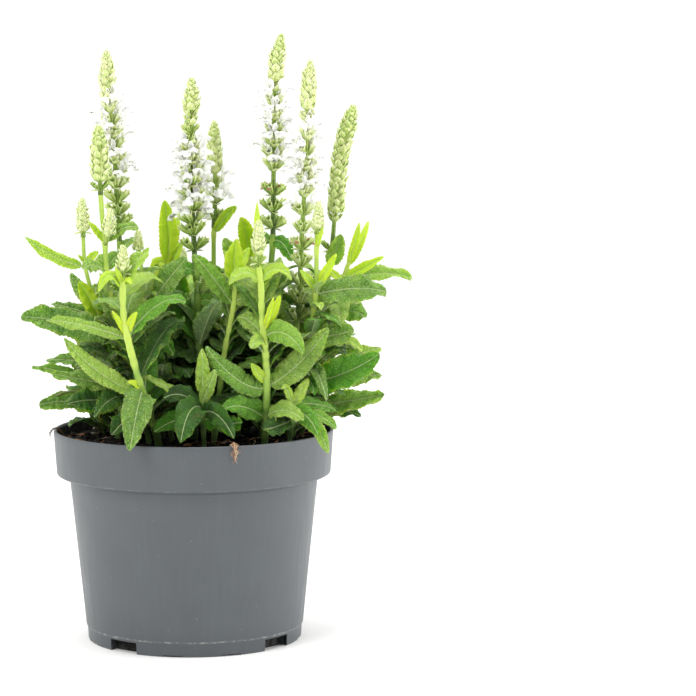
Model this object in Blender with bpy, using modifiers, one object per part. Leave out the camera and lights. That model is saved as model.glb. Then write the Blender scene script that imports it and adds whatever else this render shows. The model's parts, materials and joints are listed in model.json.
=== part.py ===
"""A white meadow sage in a 17 cm nursery pot: pot, soil, leafy stems and flower heads.

Tables and helper functions are in millimetres; MM turns them into Blender's metres when a mesh is made.
A place on the plant is written (x, z, y): x and z as they show from the front, in the upright plane
through the pot's axis, and y as the depth. seen() slides such a place along the line of sight.
"""

import math
import random
from collections import namedtuple

import bmesh
import bpy
from mathutils import Matrix, Vector, noise
from mathutils.bvhtree import BVHTree

MM = 0.001
UP = Vector((0.0, 0.0, 1.0))
EYE = Vector((0.0, -1640.0, 349.0))

# Pot: a 17 cm injection-moulded nursery pot, turned round its axis
POT_HEIGHT = 128.0
RIM_RADIUS = 85.0
BAND_HEIGHT = 26.6
BAND_TAPER = 1.7
WALL_TOP_RADIUS = 75.3
WALL_FOOT_RADIUS = 66.3
WALL = 1.4
FOOT_HEIGHT = 8.6
FOOT_INSET = 0.9
FLOOR_UNDER = 4.4
FLOOR_TOP = 6.0
PAD_RADIUS = 10.0
TURN_STEPS = 28
NOTCH_TURN = math.radians(48.7)
NOTCH_WIDTH = 20.5
NOTCH_HEIGHT = 7.1
SLOT_TURN = math.radians(15.5)
SLOT_WIDTH = 12.0
SLOT_HEIGHT = 1.0

# Soil: fills the pot to a little under the rim, with a plain hole for each stem
SOIL_TOP = 120.0
SOIL_GAP = 0.35
SOIL_RELIEF = 1.6
HOLE_FLOOR = 104.0
HOLE_GAP = 0.5
HOLE_SIDES = 5
STEM_FOOT = HOLE_FLOOR + 0.4

# Plant
STEM_STEP = 21.0
FINE_STEP = 3.0
SEAT_GAP = 0.35
BLADE_THICK = 1.0
BLADE_FOLD = math.radians(16.0)
BLADE_CLEAR = 0.45
BLADE_NOTCH = 0.08
LONG_BLADE = 28.0
STALK_SHARE = 0.07
STALK_WIDTH = 0.12
BRACT_SIDES = 5
BRACT_ROOT = 3.4
SPIKE_STALK = 1.5
SPIKE_POINT = 0.7
CONE_START = 0.68
CONE_FLARE = 6.0
CONE_BLUNT = 4.0
FLORET_TUBE = 7.0

Stem = namedtuple("Stem", "name foot thick route pairs turn")
Leaf = namedtuple("Leaf", "base tip width up rise")
Head = namedtuple("Head", "name stem kind route")
Kind = namedtuple("Kind", "gap_low gap_high bract_low bract_high spread_low spread_high core florets")

# Stems: name, foot on the soil (x, y), radii at foot and top, route (x, z, y) above the soil,
# heights of the leaf pairs that grow by rule, and the turn of the first pair in degrees
STEMS = [
    Stem("stem_front_left", (-21, -36), (2.5, 1.7),
         [(-31, 150, -60), (-36, 168, -66), (-39.5, 182, -70), (-42, 197, -72), (-42.5, 212, -74),
          (-42.4, 221, -75)], [], 0),
    Stem("stem_front_right", (42, -35), (2.4, 1.7),
         [(44.3, 150, -44), (44, 170, -46), (43, 182, -48), (41.5, 197, -50), (41, 216, -52),
          (39.6, 227, -52)], [], 0),
    Stem("shoot_centre", (6, -45), (1.8, 1.2), [(5, 138, -50), (4.4, 151, -52)], [], 0),
    Stem("shoot_rim_right", (57, -38), (1.7, 1.2), [(60, 134, -46), (62, 144, -48)], [], 0),
    Stem("stem_right_front", (57, -12), (2.0, 1.4),
         [(66, 150, -22), (71, 180, -27), (74.3, 210, -30), (74.8, 226, -30), (75, 247, -30)], [], 0),
    Stem("stem_tall_right", (41, -2), (2.4, 1.9),
         [(54, 150, -8), (60.5, 178, -10), (63, 193, -10)], [150, 176], 100),
    Stem("stem_tallest", (26, 12), (2.5, 2.0),
         [(36, 160, 16), (44, 200, 18), (48, 235, 18), (48.5, 246, 18)], [172, 206], 20),
    Stem("shoot_spoon", (12, -22), (1.9, 1.4),
         [(17, 160, -26), (19.5, 178, -27), (22, 190, -28), (24.5, 203, -28), (25.5, 215, -28),
          (26, 225, -28)], [160], 160),
    Stem("stem_centre", (0, -7), (2.5, 2.1),
         [(2, 150, -10), (3.2, 175, -11), (3.2, 200, -11), (2, 220, -11), (1, 233, -11)], [150, 178], 205),
    Stem("stem_back_centre", (9, 20), (2.0, 1.5),
         [(12, 160, 22), (12.4, 200, 22), (12.6, 240, 20), (12.8, 251, 20)], [176, 212], 70),
    Stem("shoot_back_right", (24, 30), (1.9, 1.5),
         [(30, 170, 32), (34, 212, 30), (34.3, 233, 30)], [160, 186], 40),
    Stem("stem_inner_left", (-13, -17), (2.0, 1.3),
         [(-24, 165, -28), (-28.5, 200, -32), (-30, 215, -32), (-31.5, 228, -31), (-32.6, 235.5, -31)],
         [], 0),
    Stem("shoot_bright", (-7, 12), (2.0, 1.6),
         [(-12, 170, 10), (-14.5, 212, 8), (-15, 232, 8)], [160, 188], 110),
    Stem("stem_tall_left", (-20, 4), (2.3, 1.9),
         [(-33, 165, 6), (-41, 205, 6), (-43.7, 233, 6), (-44.2, 242, 6)], [172, 208], 60),
    Stem("stem_left_spike", (-27, -20), (2.0, 1.6),
         [(-36, 155, -28), (-45, 185, -33), (-51, 215, -36), (-52.5, 230, -37), (-53, 242, -37),
          (-54.5, 258, -37), (-55.3, 271, -37)], [], 0),
    Stem("stem_far_left", (-34, -3), (1.9, 1.2),
         [(-47, 165, -12), (-58, 200, -20), (-64, 222, -22), (-65.5, 232, -22), (-66, 245.5, -22)],
         [165], 80),
    Stem("stem_right_spike", (54, 16), (2.2, 1.7),
         [(70, 170, 20), (80, 210, 22), (84, 233, 22)], [160, 186], 30),
    Stem("shoot_right", (60, 2), (1.8, 1.3),
         [(74, 165, 2), (84, 200, 0), (91, 219, -2), (94.8, 229, -2)], [], 0),
    Stem("shoot_left_low", (-40, -22), (2.0, 1.5),
         [(-45, 145, -27), (-46.5, 165, -30), (-49, 187, -32)], [], 0),
    Stem("shoot_left_back", (-46, 4), (1.9, 1.5),
         [(-53, 150, 4), (-56, 172, 4), (-58, 190, 4)], [180], 60),
    Stem("shoot_right_low", (66, 14), (1.9, 1.4),
         [(74, 142, 6), (78, 158, 5), (80, 170, 5)], [], 0),
    Stem("stem_back_left", (-30, 30), (2.0, 1.5),
         [(-37, 165, 38), (-42, 205, 44), (-43, 222, 45)], [142, 170, 200], 90),
    Stem("stem_back_middle", (-4, 44), (2.0, 1.5),
         [(-5, 165, 52), (-6, 200, 56), (-6, 218, 57)], [140, 168, 198], 85),
    Stem("stem_back_right", (34, 46), (2.0, 1.5),
         [(42, 165, 54), (50, 196, 60), (53, 210, 62)], [142, 168, 194], 130),
    Stem("stem_back_far_left", (-56, 26), (1.8, 1.4),
         [(-63, 150, 30), (-66, 178, 32), (-66, 196, 33)], [140, 165, 190], 20),
    Stem("stem_back_far_right", (62, 36), (1.8, 1.4),
         [(71, 150, 42), (78, 176, 46), (80, 192, 47)], [140, 164, 186], 65),
]

# Leaves that show, by stem: height on the stem, tip (x, z, y), width, how far the upper face turns
# from the sky to the viewer in degrees, and how far the rib rises in its middle
LEAVES = {
    "stem_front_left": [
        (150, -39, 115, -93, 19, 78, 9), (149, -78, 184, -52, 11, 60, -4), (152, -39, 157, -70, 4, 60, 0),
        (182, -89, 194, -62, 9, 50, 3), (183, -4, 205, -68, 12, 45, 9), (184, -49, 200, -76, 4, 70, 0),
        (185, -34, 199, -76, 5, 80, 1), (212, -57, 211, -82, 8, 50, 9), (213, -27, 236, -70, 10, 70, 3),
        (216, -47, 226, -82, 3.5, 60, 0), (217, -37, 216, -84, 4, 60, 2)],
    "stem_front_right": [
        (133, 18, 140, -64, 15, 65, 4), (134, 67, 131, -68, 14, 60, 6), (152, 8, 178, -56, 13, 65, -8),
        (153, 82, 189, -42, 17, 70, -4), (155, 35, 167, -52, 6, 75, 0), (183, 26, 196, -42, 11, 60, 3),
        (183, 67, 173, -64, 15, 75, 7), (181, 35, 178, -68, 9, 65, 2), (186, 53, 209, -54, 5, 75, 1),
        (186, 49, 208, -60, 3.5, 75, 0), (215, 22, 215, -60, 8, 45, 8), (216, 60, 218, -52, 8, 50, 7),
        (222, 39, 266, -42, 6, 80, 0)],
    "shoot_centre": [
        (141, -29, 161, -60, 10, 50, 0), (148, 5, 176, -57, 9, 82, 0), (143, 13, 163, -64, 8, 80, 0),
        (139, -8, 119, -84, 16, 70, 8), (137, 24, 122, -78, 13, 65, 7)],
    "shoot_rim_right": [
        (134, 82, 112, -66, 10, 62, 7), (139, 54, 152, -54, 5, 75, 1), (141, 70, 158, -44, 7, 82, 0),
        (137, 88, 127, -42, 8, 50, 4), (141, 86, 138, -24, 10, 60, 3)],
    "stem_right_front": [
        (158, 81, 144, -48, 10, 60, 12), (155, 113, 173, -32, 20, 66, -3), (182, 98, 187, -34, 15, 62, 0),
        (209, 117, 212, -40, 18, 62, 1), (213, 87, 234, -36, 6, 62, 0), (212, 65, 224, -38, 5, 70, 0),
        (236, 79, 250, -36, 3, 70, 0)],
    "stem_tall_right": [(188, 48, 204, -18, 10, 60, 4)],
    "stem_tallest": [(241, 60, 229, 4, 11, 60, 5), (240, 34, 243, 26, 9, 60, 3)],
    "shoot_spoon": [
        (202, 1, 234, -34, 11, 65, 1), (204, 39, 213, -32, 11, 62, 0), (217, 26, 242, -40, 12, 86, 0),
        (219, 20, 236, -22, 7, 70, 0), (220, 34, 238, -22, 7, 70, 0)],
    "stem_centre": [(203, 17, 196, -24, 8, 50, 6), (222, -16, 214, -26, 11, 55, 6), (221, 16, 222, -4, 9, 55, 4)],
    "stem_back_centre": [(246, 27, 263, 10, 7, 55, 2)],
    "shoot_back_right": [(229, 29, 255, 24, 11, 82, 0), (212, 19, 244, 34, 14, 72, 0), (225, 42, 240, 38, 8, 60, 0)],
    "stem_inner_left": [
        (200, -4, 232, -38, 14, 64, 0), (202, -41, 211, -38, 8, 50, 2), (160, -30, 188, -44, 16, 84, 0),
        (178, -12, 172, -40, 10, 60, 6), (230, -26, 238, -36, 4, 60, 0)],
    "shoot_bright": [
        (227, -17, 267, 2, 12, 84, 0), (228, -9, 257, 14, 9, 80, 0), (224, -24, 217, -2, 9, 50, 8),
        (222, -6, 242, 0, 7, 70, 0)],
    "stem_tall_left": [(235, -33, 243, 8, 8, 55, 3), (230, -60, 224, 4, 10, 50, 4)],
    "stem_left_spike": [
        (241, -63, 254, -41, 5, 50, 0), (241, -33, 251, -45, 8, 56, 3), (223, -66, 225, -46, 13, 40, 3),
        (224, -44, 234, -28, 9, 50, 2), (192, -57, 216, -40, 8, 80, 0)],
    "stem_far_left": [
        (227, -101, 245, -32, 8, 60, -3), (227, -57, 236, -12, 5, 60, 0), (192, -69, 218, -30, 10, 74, 0),
        (196, -86, 205, -18, 7, 45, 1), (200, -74, 222, -6, 10, 70, 0), (229, -69, 234, -26, 2.5, 60, 0)],
    "stem_right_spike": [(226, 90, 246, 14, 11, 82, 0), (212, 133, 220, 6, 12, 50, 5), (205, 62, 222, 30, 10, 60, 3)],
    "shoot_right": [
        (226, 101, 253, -6, 5, 75, 0), (226, 106.5, 254, 2, 5, 70, -2), (218, 116, 232, -10, 7, 55, 0),
        (217, 80, 226, 6, 5, 60, 0), (198, 105, 196, -14, 14, 56, 2), (182, 104, 175, 4, 9, 50, 3),
        (165, 62, 190, 14, 12, 60, 2)],
    "shoot_left_low": [
        (143, -77, 143, -52, 17, 66, 2), (153, -86, 161, -42, 13, 52, 1), (182, -104, 197, -36, 18, 62, 2),
        (140, -26, 136, -62, 12, 60, 5), (165, -36, 190, -10, 12, 60, 2)],
    "shoot_left_back": [
        (138, -94, 142, -18, 12, 55, 3), (154, -98, 166, -8, 10, 50, 1), (167, -89, 171, 0, 11, 55, 0)],
    "shoot_right_low": [
        (140, 117, 147, -8, 16, 62, 1), (138, 102, 134, 2, 13, 50, 3), (156, 115, 160, 8, 14, 55, 1),
        (160, 115, 177, 12, 11, 60, 2)],
}

# Flower heads: whorl gaps, bract lengths and spreads in degrees at foot and tip, radius of the core
# at its fullest, and how many white florets stand open
KINDS = {
    "flowering": Kind(12.0, 4.4, 8.6, 3.6, 50, 24, 3.9, 8),
    "budding": Kind(8.6, 4.0, 6.4, 3.6, 22, 20, 4.8, 0),
    "bud": Kind(4.6, 3.8, 4.4, 3.2, 28, 16, 3.4, 0),
}

# name, stem that carries it, kind, and the route (x, z, y) from the stem's top to the tip
HEADS = [
    Head("spike_left", "stem_tall_left", "flowering",
         [(-45.3, 262, 6), (-46.2, 282, 6), (-47, 301, 6), (-48.6, 318, 6), (-50.4, 333, 6), (-51, 356, 6)]),
    Head("spike_centre", "stem_centre", "flowering",
         [(0, 260, -10), (-0.6, 285, -10), (-0.8, 310, -10), (0, 340, -10)]),
    Head("spike_tallest", "stem_tallest", "flowering",
         [(48.7, 265, 18), (49.2, 300, 18), (49.8, 333, 18), (51.6, 352, 18), (54, 366, 18)]),
    Head("spike_right", "stem_tall_right", "flowering",
         [(64.6, 208, -10), (65.4, 235, -10), (67, 262, -10), (68.8, 297, -10), (69.6, 322, -10),
          (71.3, 350, -10)]),
    Head("bud_spike_left", "stem_left_spike", "budding", [(-55.8, 290, -37), (-56, 312, -37)]),
    Head("bud_spike_centre", "stem_back_centre", "budding",
         [(13.6, 270, 20), (13.4, 292, 20), (13.2, 314, 20)]),
    Head("bud_spike_right", "stem_right_spike", "budding",
         [(86, 258, 22), (87.5, 275, 22), (90.5, 298, 22), (97.5, 324, 22)]),
    Head("bud_far_left", "stem_far_left", "bud", [(-66.3, 258, -22), (-66.5, 268.5, -22)]),
    Head("bud_front_left", "stem_front_left", "bud", [(-42.2, 230, -76), (-42, 240, -76)]),
    Head("bud_inner_left", "stem_inner_left", "bud", [(-33, 242, -31), (-33, 249, -31)]),
    Head("bud_front_right", "stem_front_right", "bud", [(39.6, 240, -52), (40, 254.5, -52)]),
    Head("bud_right_front", "stem_right_front", "bud", [(75.8, 256, -30), (76.3, 266, -30)]),
    Head("bud_back_middle", "stem_back_middle", "bud", [(-6, 230, 57), (-6, 238, 57)]),
    Head("bud_back_left", "stem_back_left", "bud", [(-43.2, 230, 45), (-43.4, 238, 45)]),
]

# A bud on a short stalk of its own, fused to its stem: stem, height on it, route
SIDE_BUDS = [("stem_left_spike", 240.0, [(-51, 246, -43), (-50, 254, -44), (-49.8, 262, -44)])]

# Leaves that grow by rule stay under this outline (x, z), so they fill only what the others hide
CANOPY = [(-78, 140), (-66, 205), (-50, 228), (-30, 224), (-8, 230), (14, 226), (34, 222), (52, 232),
          (74, 226), (88, 206), (98, 184), (100, 140)]
RULE_LENGTHS = (56.0, 36.0)
RULE_SLENDER = 0.3


def seen(x, z, y):
    """Place of what shows at (x, z) in the plane through the pot's axis, and lies at depth y."""
    reach = (y - EYE.y) / -EYE.y
    return Vector((x * reach, y, EYE.z + (z - EYE.z) * reach))


def as_seen(place):
    """x and z at which a place shows in the plane through the pot's axis."""
    reach = (place.y - EYE.y) / -EYE.y
    return place.x / reach, EYE.z + (place.z - EYE.z) / reach


def smooth(knots, step):
    """Places about `step` apart along one smooth curve through the knots."""
    ends = [2 * knots[0] - knots[1]] + knots + [2 * knots[-1] - knots[-2]]
    places = []
    for a, b, c, d in zip(ends, ends[1:], ends[2:], ends[3:]):
        count = max(1, round((c - b).length / step))
        for i in range(count):
            t = i / count
            places.append(0.5 * (2 * b + (c - a) * t + (2 * a - 5 * b + 4 * c - d) * t ** 2
                                 + (3 * b - a - 3 * c + d) * t ** 3))
    places.append(knots[-1])
    return places


def mix(low, high, share):
    """Value between low and high."""
    return low + (high - low) * share


def clear_scene():
    """Remove every object that the file opened with."""
    for thing in list(bpy.data.objects):
        bpy.data.objects.remove(thing, do_unlink=True)


def make_collection(name):
    """New collection under the scene's own."""
    collection = bpy.data.collections.new(name)
    bpy.context.scene.collection.children.link(collection)
    return collection


def make_material(name, colour, roughness):
    """Principled material of one base colour."""
    material = bpy.data.materials.new(name)
    material.use_nodes = True
    shader = material.node_tree.nodes["Principled BSDF"]
    shader.inputs["Base Color"].default_value = (*colour, 1.0)
    shader.inputs["Roughness"].default_value = roughness
    shader.inputs["Metallic"].default_value = 0.0
    return material


def make_object(name, mesh, collection, material=None):
    """Object of the mesh in the collection."""
    thing = bpy.data.objects.new(name, mesh)
    collection.objects.link(thing)
    if material:
        mesh.materials.append(material)
    return thing


def finish_mesh(bm, name):
    """Mesh of a closed bmesh in millimetres, split into triangles with its faces pointing out."""
    bmesh.ops.triangulate(bm, faces=bm.faces)
    if bm.calc_volume(signed=True) < 0:
        bmesh.ops.reverse_faces(bm, faces=bm.faces)
    bmesh.ops.transform(bm, matrix=Matrix.Scale(MM, 4), verts=bm.verts)
    mesh = bpy.data.meshes.new(name)
    bm.to_mesh(mesh)
    bm.free()
    return mesh


def evaluated_mesh(thing):
    """Mesh of an object as its modifiers or its bevel leave it."""
    graph = bpy.context.evaluated_depsgraph_get()
    graph.update()
    return bpy.data.meshes.new_from_object(thing.evaluated_get(graph))


def skin(bm, rings, split=True):
    """Close a skin over rings of equal count; a last ring of one place is the tip.

    Split quads run from their even corner to the next odd one, so a blade's two faces are split alike.
    Returns the bands of side faces.
    """
    loops = [[bm.verts.new(place) for place in ring] for ring in rings]
    bands = []
    count = len(loops[0])
    for low, high in zip(loops, loops[1:]):
        band = []
        for j in range(count):
            k = (j + 1) % count
            if len(high) == 1:
                band.append(bm.faces.new((low[j], low[k], high[0])))
            elif not split:
                band.append(bm.faces.new((low[j], low[k], high[k], high[j])))
            elif j % 2:
                band.append(bm.faces.new((low[j], low[k], high[j])))
                band.append(bm.faces.new((low[k], high[k], high[j])))
            else:
                band.append(bm.faces.new((low[j], low[k], high[k])))
                band.append(bm.faces.new((low[j], high[k], high[j])))
        bands.append(band)
    bm.faces.new(list(reversed(loops[0])))
    if len(loops[-1]) > 1:
        bm.faces.new(loops[-1])
    return bands


def leaf_outline(share):
    """Half width of a blade at a share of its length, 1 at its widest: a short stalk, then a long oval."""
    if share <= STALK_SHARE:
        return STALK_WIDTH
    along = (share - STALK_SHARE) / (1 - STALK_SHARE)
    oval = along ** 0.5 * (1 - along) ** 0.6
    peak = 0.4545 ** 0.5 * 0.5455 ** 0.6
    return mix(STALK_WIDTH, 1.0, oval / peak)


def leaf_frame(leaf, share):
    """Place, direction and upper-face normal of a leaf's rib at a share of its length."""
    chord = leaf.tip - leaf.base
    lift = UP * leaf.rise * 4 / 3
    a = leaf.base + chord * 0.3 + lift
    b = leaf.base + chord * 0.72 + lift
    rest = 1 - share
    place = (leaf.base * rest ** 3 + a * 3 * rest ** 2 * share + b * 3 * rest * share ** 2
             + leaf.tip * share ** 3)
    along = ((a - leaf.base) * rest ** 2 + (b - a) * 2 * rest * share + (leaf.tip - b) * share ** 2)
    along.normalize()
    normal = (leaf.up - along * leaf.up.dot(along)).normalized()
    return place, along, normal


def leaf_rings(leaf, spare=0.0):
    """Rings of a blade: left edge, upper rib, right edge, lower rib, then the tip."""
    length = (leaf.tip - leaf.base).length
    count = 5 if length > LONG_BLADE else 3
    rings = []
    for i in range(count):
        share = i / count
        place, along, normal = leaf_frame(leaf, share)
        side = along.cross(normal)
        notch = 1.0 - BLADE_NOTCH * (-1) ** i
        half = 0.5 * leaf.width * leaf_outline(share) * notch + spare
        lift = normal * half * math.sin(BLADE_FOLD)
        out = side * half * math.cos(BLADE_FOLD)
        thick = normal * (0.5 * BLADE_THICK * mix(1.5, 0.85, min(1.0, share * 3)) + spare)
        rings.append([place - out + lift, place + thick, place + out + lift, place - thick])
    tip, along, normal = leaf_frame(leaf, 1.0)
    rings.append([tip + along * spare])
    return rings


def leaf_mesh(leaf):
    """Closed mesh of one leaf."""
    bm = bmesh.new()
    skin(bm, leaf_rings(leaf))
    return finish_mesh(bm, "leaf")


def facing(angle):
    """Upper-face direction, turned from the sky towards the viewer by an angle in degrees."""
    turn = math.radians(angle)
    return Vector((0.0, -math.sin(turn), math.cos(turn)))


def stem_knots(stem):
    """Knots of a stem, straight up out of the soil and then along its route."""
    x, y = stem.foot
    return [Vector((x, y, STEM_FOOT)), Vector((x, y, SOIL_TOP + 3))] + [seen(*place) for place in stem.route]


def stem_place(stem, height):
    """Place on a stem's axis that shows at a height."""
    places = smooth(stem_knots(stem), FINE_STEP)
    for low, high in zip(places, places[1:]):
        z_low, z_high = as_seen(low)[1], as_seen(high)[1]
        if z_low <= height <= z_high:
            return low.lerp(high, (height - z_low) / (z_high - z_low))
    return places[-1]


def tube_mesh(name, places, radii):
    """Mesh of a four-sided tube through the places, with closed ends."""
    curve = bpy.data.curves.new(name, "CURVE")
    curve.dimensions = "3D"
    curve.bevel_depth = MM
    curve.bevel_resolution = 0
    curve.use_fill_caps = True
    spline = curve.splines.new("POLY")
    spline.points.add(len(places) - 1)
    for i, (point, place) in enumerate(zip(spline.points, places)):
        point.co = (*(place * MM), 1.0)
        point.radius = mix(*radii, i / (len(places) - 1))
    thing = bpy.data.objects.new(name, curve)
    bpy.context.scene.collection.objects.link(thing)
    bm = bmesh.new()
    bm.from_mesh(evaluated_mesh(thing))
    bmesh.ops.remove_doubles(bm, verts=bm.verts, dist=0.0001)
    bpy.data.objects.remove(thing, do_unlink=True)
    bmesh.ops.transform(bm, matrix=Matrix.Scale(1 / MM, 4), verts=bm.verts)
    return finish_mesh(bm, name)


def ring(place, along, radius, turn):
    """Ring of BRACT_SIDES places round an axis."""
    east = Vector((1.0, 0.0, 0.0))
    across = (east - along * east.dot(along)).normalized()
    beside = along.cross(across)
    angles = [turn + math.tau * i / BRACT_SIDES for i in range(BRACT_SIDES)]
    return [place + (across * math.cos(a) + beside * math.sin(a)) * radius for a in angles]


def core_radius(kind, share):
    """Radius of a head's core: a stalk at its foot, full up its bud cone, then a blunt point."""
    cone_start = CONE_START if kind.florets else 0.0
    if share < cone_start:
        return SPIKE_STALK
    along = (share - cone_start) / (1 - cone_start)
    swell = min(1.0, CONE_FLARE * along) * (1 - along ** CONE_BLUNT) ** 0.6
    return mix(SPIKE_STALK, SPIKE_POINT, along) + (kind.core - SPIKE_STALK) * swell


def head_axis(places, distance):
    """Place and direction at a distance along a row of places."""
    gone = 0.0
    for low, high in zip(places, places[1:]):
        step = (high - low).length
        if gone + step >= distance:
            return low.lerp(high, (distance - gone) / step), (high - low).normalized()
        gone += step
    return places[-1], (places[-1] - places[-2]).normalized()


def head_whorls(kind, length):
    """Distance, gap and share of each whorl of a head, the gaps shrinking to the tip."""
    whorls = []
    distance = 0.3 * kind.gap_low
    while distance < length - kind.gap_high:
        share = distance / length
        gap = mix(kind.gap_low, kind.gap_high, share)
        whorls.append((distance, gap, share))
        distance += gap
    return whorls


def head_bmesh(kind, places):
    """A head: a core turned from whorl to whorl, with its bracts or calyces drawn out of it."""
    length = sum((b - a).length for a, b in zip(places, places[1:]))
    whorls = head_whorls(kind, length)
    place, along = head_axis(places, 0.0)
    rings = [ring(place, along, core_radius(kind, 0.0), 0.0)]
    turn = math.pi / BRACT_SIDES
    for k, (distance, gap, share) in enumerate(whorls):
        for past in (0.0, min(BRACT_ROOT, 0.62 * gap)):
            place, along = head_axis(places, distance + past)
            rings.append(ring(place, along, core_radius(kind, (distance + past) / length), turn * (k % 2)))
    rings.append([places[-1]])
    bm = bmesh.new()
    bands = skin(bm, rings, split=False)
    for k, (distance, gap, share) in enumerate(whorls):
        place, along = head_axis(places, distance)
        spread = math.radians(mix(kind.spread_low, kind.spread_high, share))
        reach = mix(kind.bract_low, kind.bract_high, share)
        for quad in bands[2 * k + 1]:
            centre = quad.calc_center_median()
            out = centre - place
            out = (out - along * out.dot(along)).normalized()
            tip = bmesh.ops.poke(bm, faces=[quad])["verts"][0]
            tip.co = centre + (out * math.sin(spread) + along * math.cos(spread)) * reach
    return bm


def floret_bmesh(place, out, along):
    """Open floret: a four-sided trumpet whose mouth runs up into a hood and down into a lip."""
    side = out.cross(along)
    axis = (out + along * 0.45).normalized()
    upper = along * 0.8 - out * 0.2
    throat = place + axis * FLORET_TUBE
    rings = [
        [place + side * 0.8, place + upper, place - side * 0.8, place - upper],
        [throat + side * 1.5, throat + upper * 1.8, throat - side * 1.5, throat - upper * 1.6],
        [throat + axis * 2.5 + side * 2.6, throat + axis * 5.0 + along * 4.2,
         throat + axis * 2.5 - side * 2.6, throat + axis * 3.6 - along * 4.0],
    ]
    bm = bmesh.new()
    skin(bm, rings)
    return bm


def head_florets(kind, places, seed):
    """Place, outward direction and axis of each open floret of a head, all round its middle whorls."""
    draw = random.Random(seed)
    length = sum((b - a).length for a, b in zip(places, places[1:]))
    whorls = [whorl for whorl in head_whorls(kind, length) if 0.12 < whorl[2] < 0.6]
    florets = []
    for i in range(kind.florets):
        distance = whorls[i % len(whorls)][0]
        place, along = head_axis(places, distance + 2.0)
        angle = math.tau * (i * 0.382 + draw.uniform(-0.04, 0.04))
        out = Vector((math.cos(angle), math.sin(angle), 0.0))
        florets.append((place, (out - along * out.dot(along)).normalized(), along))
    return florets


def tree_of(mesh):
    """Search tree over a mesh, in millimetres, with its lowest and highest corners."""
    places = [vertex.co / MM for vertex in mesh.vertices]
    faces = [tuple(face.vertices) for face in mesh.polygons]
    return tree_of_places(places, faces)


def tree_of_places(places, faces):
    """Search tree over places and faces, with their lowest and highest corners."""
    low = Vector([min(place[i] for place in places) for i in range(3)])
    high = Vector([max(place[i] for place in places) for i in range(3)])
    return BVHTree.FromPolygons(places, faces), low, high


def leaf_tree(leaf):
    """Search tree over a leaf with a clear margin round it."""
    bm = bmesh.new()
    skin(bm, leaf_rings(leaf, BLADE_CLEAR))
    bm.verts.index_update()
    tree = tree_of_places([vertex.co.copy() for vertex in bm.verts],
                          [tuple(vertex.index for vertex in face.verts) for face in bm.faces])
    bm.free()
    return tree


def crosses(first, second):
    """Whether two search trees touch."""
    if any(first[1][i] > second[2][i] or second[1][i] > first[2][i] for i in range(3)):
        return False
    return bool(first[0].overlap(second[0]))


def shown_ways(stem, row):
    """Leaf of a table row, then the same leaf with its tip nearer or farther and its rib bent otherwise."""
    at, x, z, y, width, face, rise = row
    base = stem_place(stem, at)
    for less in (1.0, 0.84):
        for nearer in (0, -5, 5, -10, 10, -15, 15, -21, 21, -28, 28):
            for bend in (0, 4, -4, 8, -8):
                for turn in (0, -22, 22):
                    tip = base.lerp(seen(x, z, y + nearer), less)
                    yield Leaf(base, tip, width * less, facing(face + turn), rise + bend)


def under_canopy(leaf):
    """Whether a rule's leaf stays in the outline and off the front of the others."""
    for share in (0.4, 0.7, 1.0):
        place = leaf_frame(leaf, share)[0]
        x, z = as_seen(place)
        if not CANOPY[0][0] < x < CANOPY[-1][0] or place.z < SOIL_TOP + 5:
            return False
        if place.y < 0 and z < 137:
            return False
        for (x_low, z_low), (x_high, z_high) in zip(CANOPY, CANOPY[1:]):
            if x_low <= x <= x_high and z > mix(z_low, z_high, (x - x_low) / (x_high - x_low)):
                return False
    return leaf.tip.y > -48


def rule_ways(stem, height, angle, draw):
    """Leaf that a rule grows at a height, then the same leaf swung, raised or shortened."""
    base = stem_place(stem, height)
    top = as_seen(stem_knots(stem)[-1])[1]
    young = max(0.0, min(1.0, 1 - (top - height) / 70))
    length = mix(*RULE_LENGTHS, young) * draw.uniform(0.9, 1.1)
    climb = draw.uniform(8, 30) + 22 * young
    for less in (1.0, 0.82, 0.66):
        for raised in (0, 12, -12, 24):
            for swung in (0, 14, -14, 28, -28, 42, -42):
                turn = math.radians(angle + swung)
                out = Vector((math.cos(turn), math.sin(turn), 0.0))
                lift = math.radians(climb + raised)
                tip = base + (out * math.cos(lift) + UP * math.sin(lift)) * length * less
                leaf = Leaf(base, tip, length * less * RULE_SLENDER, UP - out * 0.4, length * 0.1)
                if under_canopy(leaf):
                    yield leaf


def place_leaves(obstacles):
    """Leaves of each stem: those that show, then those that a rule adds, each bent clear of the rest."""
    grown = {stem.name: [] for stem in STEMS}
    kept = list(obstacles)

    def grow(stem, ways):
        for leaf in ways:
            tree = leaf_tree(leaf)
            if not any(owner != stem.name and crosses(tree, other) for owner, other in kept):
                kept.append((stem.name, tree))
                grown[stem.name].append(leaf)
                return

    for stem in STEMS:
        for row in LEAVES.get(stem.name, []):
            grow(stem, shown_ways(stem, row))
    for number, stem in enumerate(STEMS):
        for step, height in enumerate(stem.pairs):
            for side in (0, 180):
                draw = random.Random(1000 * number + 10 * step + side)
                angle = stem.turn + 90 * step + side + draw.uniform(-12, 12)
                grow(stem, rule_ways(stem, height, angle, draw))
    return grown


def turned(name, profile, collection, material):
    """Object of a profile (radius, height) turned round the pot's axis."""
    mesh = bpy.data.meshes.new(name)
    places = [(r * MM, 0.0, z * MM) for r, z in profile]
    mesh.from_pydata(places, [(i, i + 1) for i in range(len(places) - 1)], [])
    thing = make_object(name, mesh, collection, material)
    screw = thing.modifiers.new("turn", "SCREW")
    screw.axis = "Z"
    screw.steps = TURN_STEPS
    screw.render_steps = TURN_STEPS
    screw.use_merge_vertices = True
    screw.merge_threshold = 0.00001
    return thing


def apply_modifiers(thing):
    """Replace an object's mesh by its evaluated one."""
    material = thing.data.materials[0]
    mesh = evaluated_mesh(thing)
    thing.modifiers.clear()
    thing.data = mesh
    if not mesh.materials:
        mesh.materials.append(material)


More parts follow.
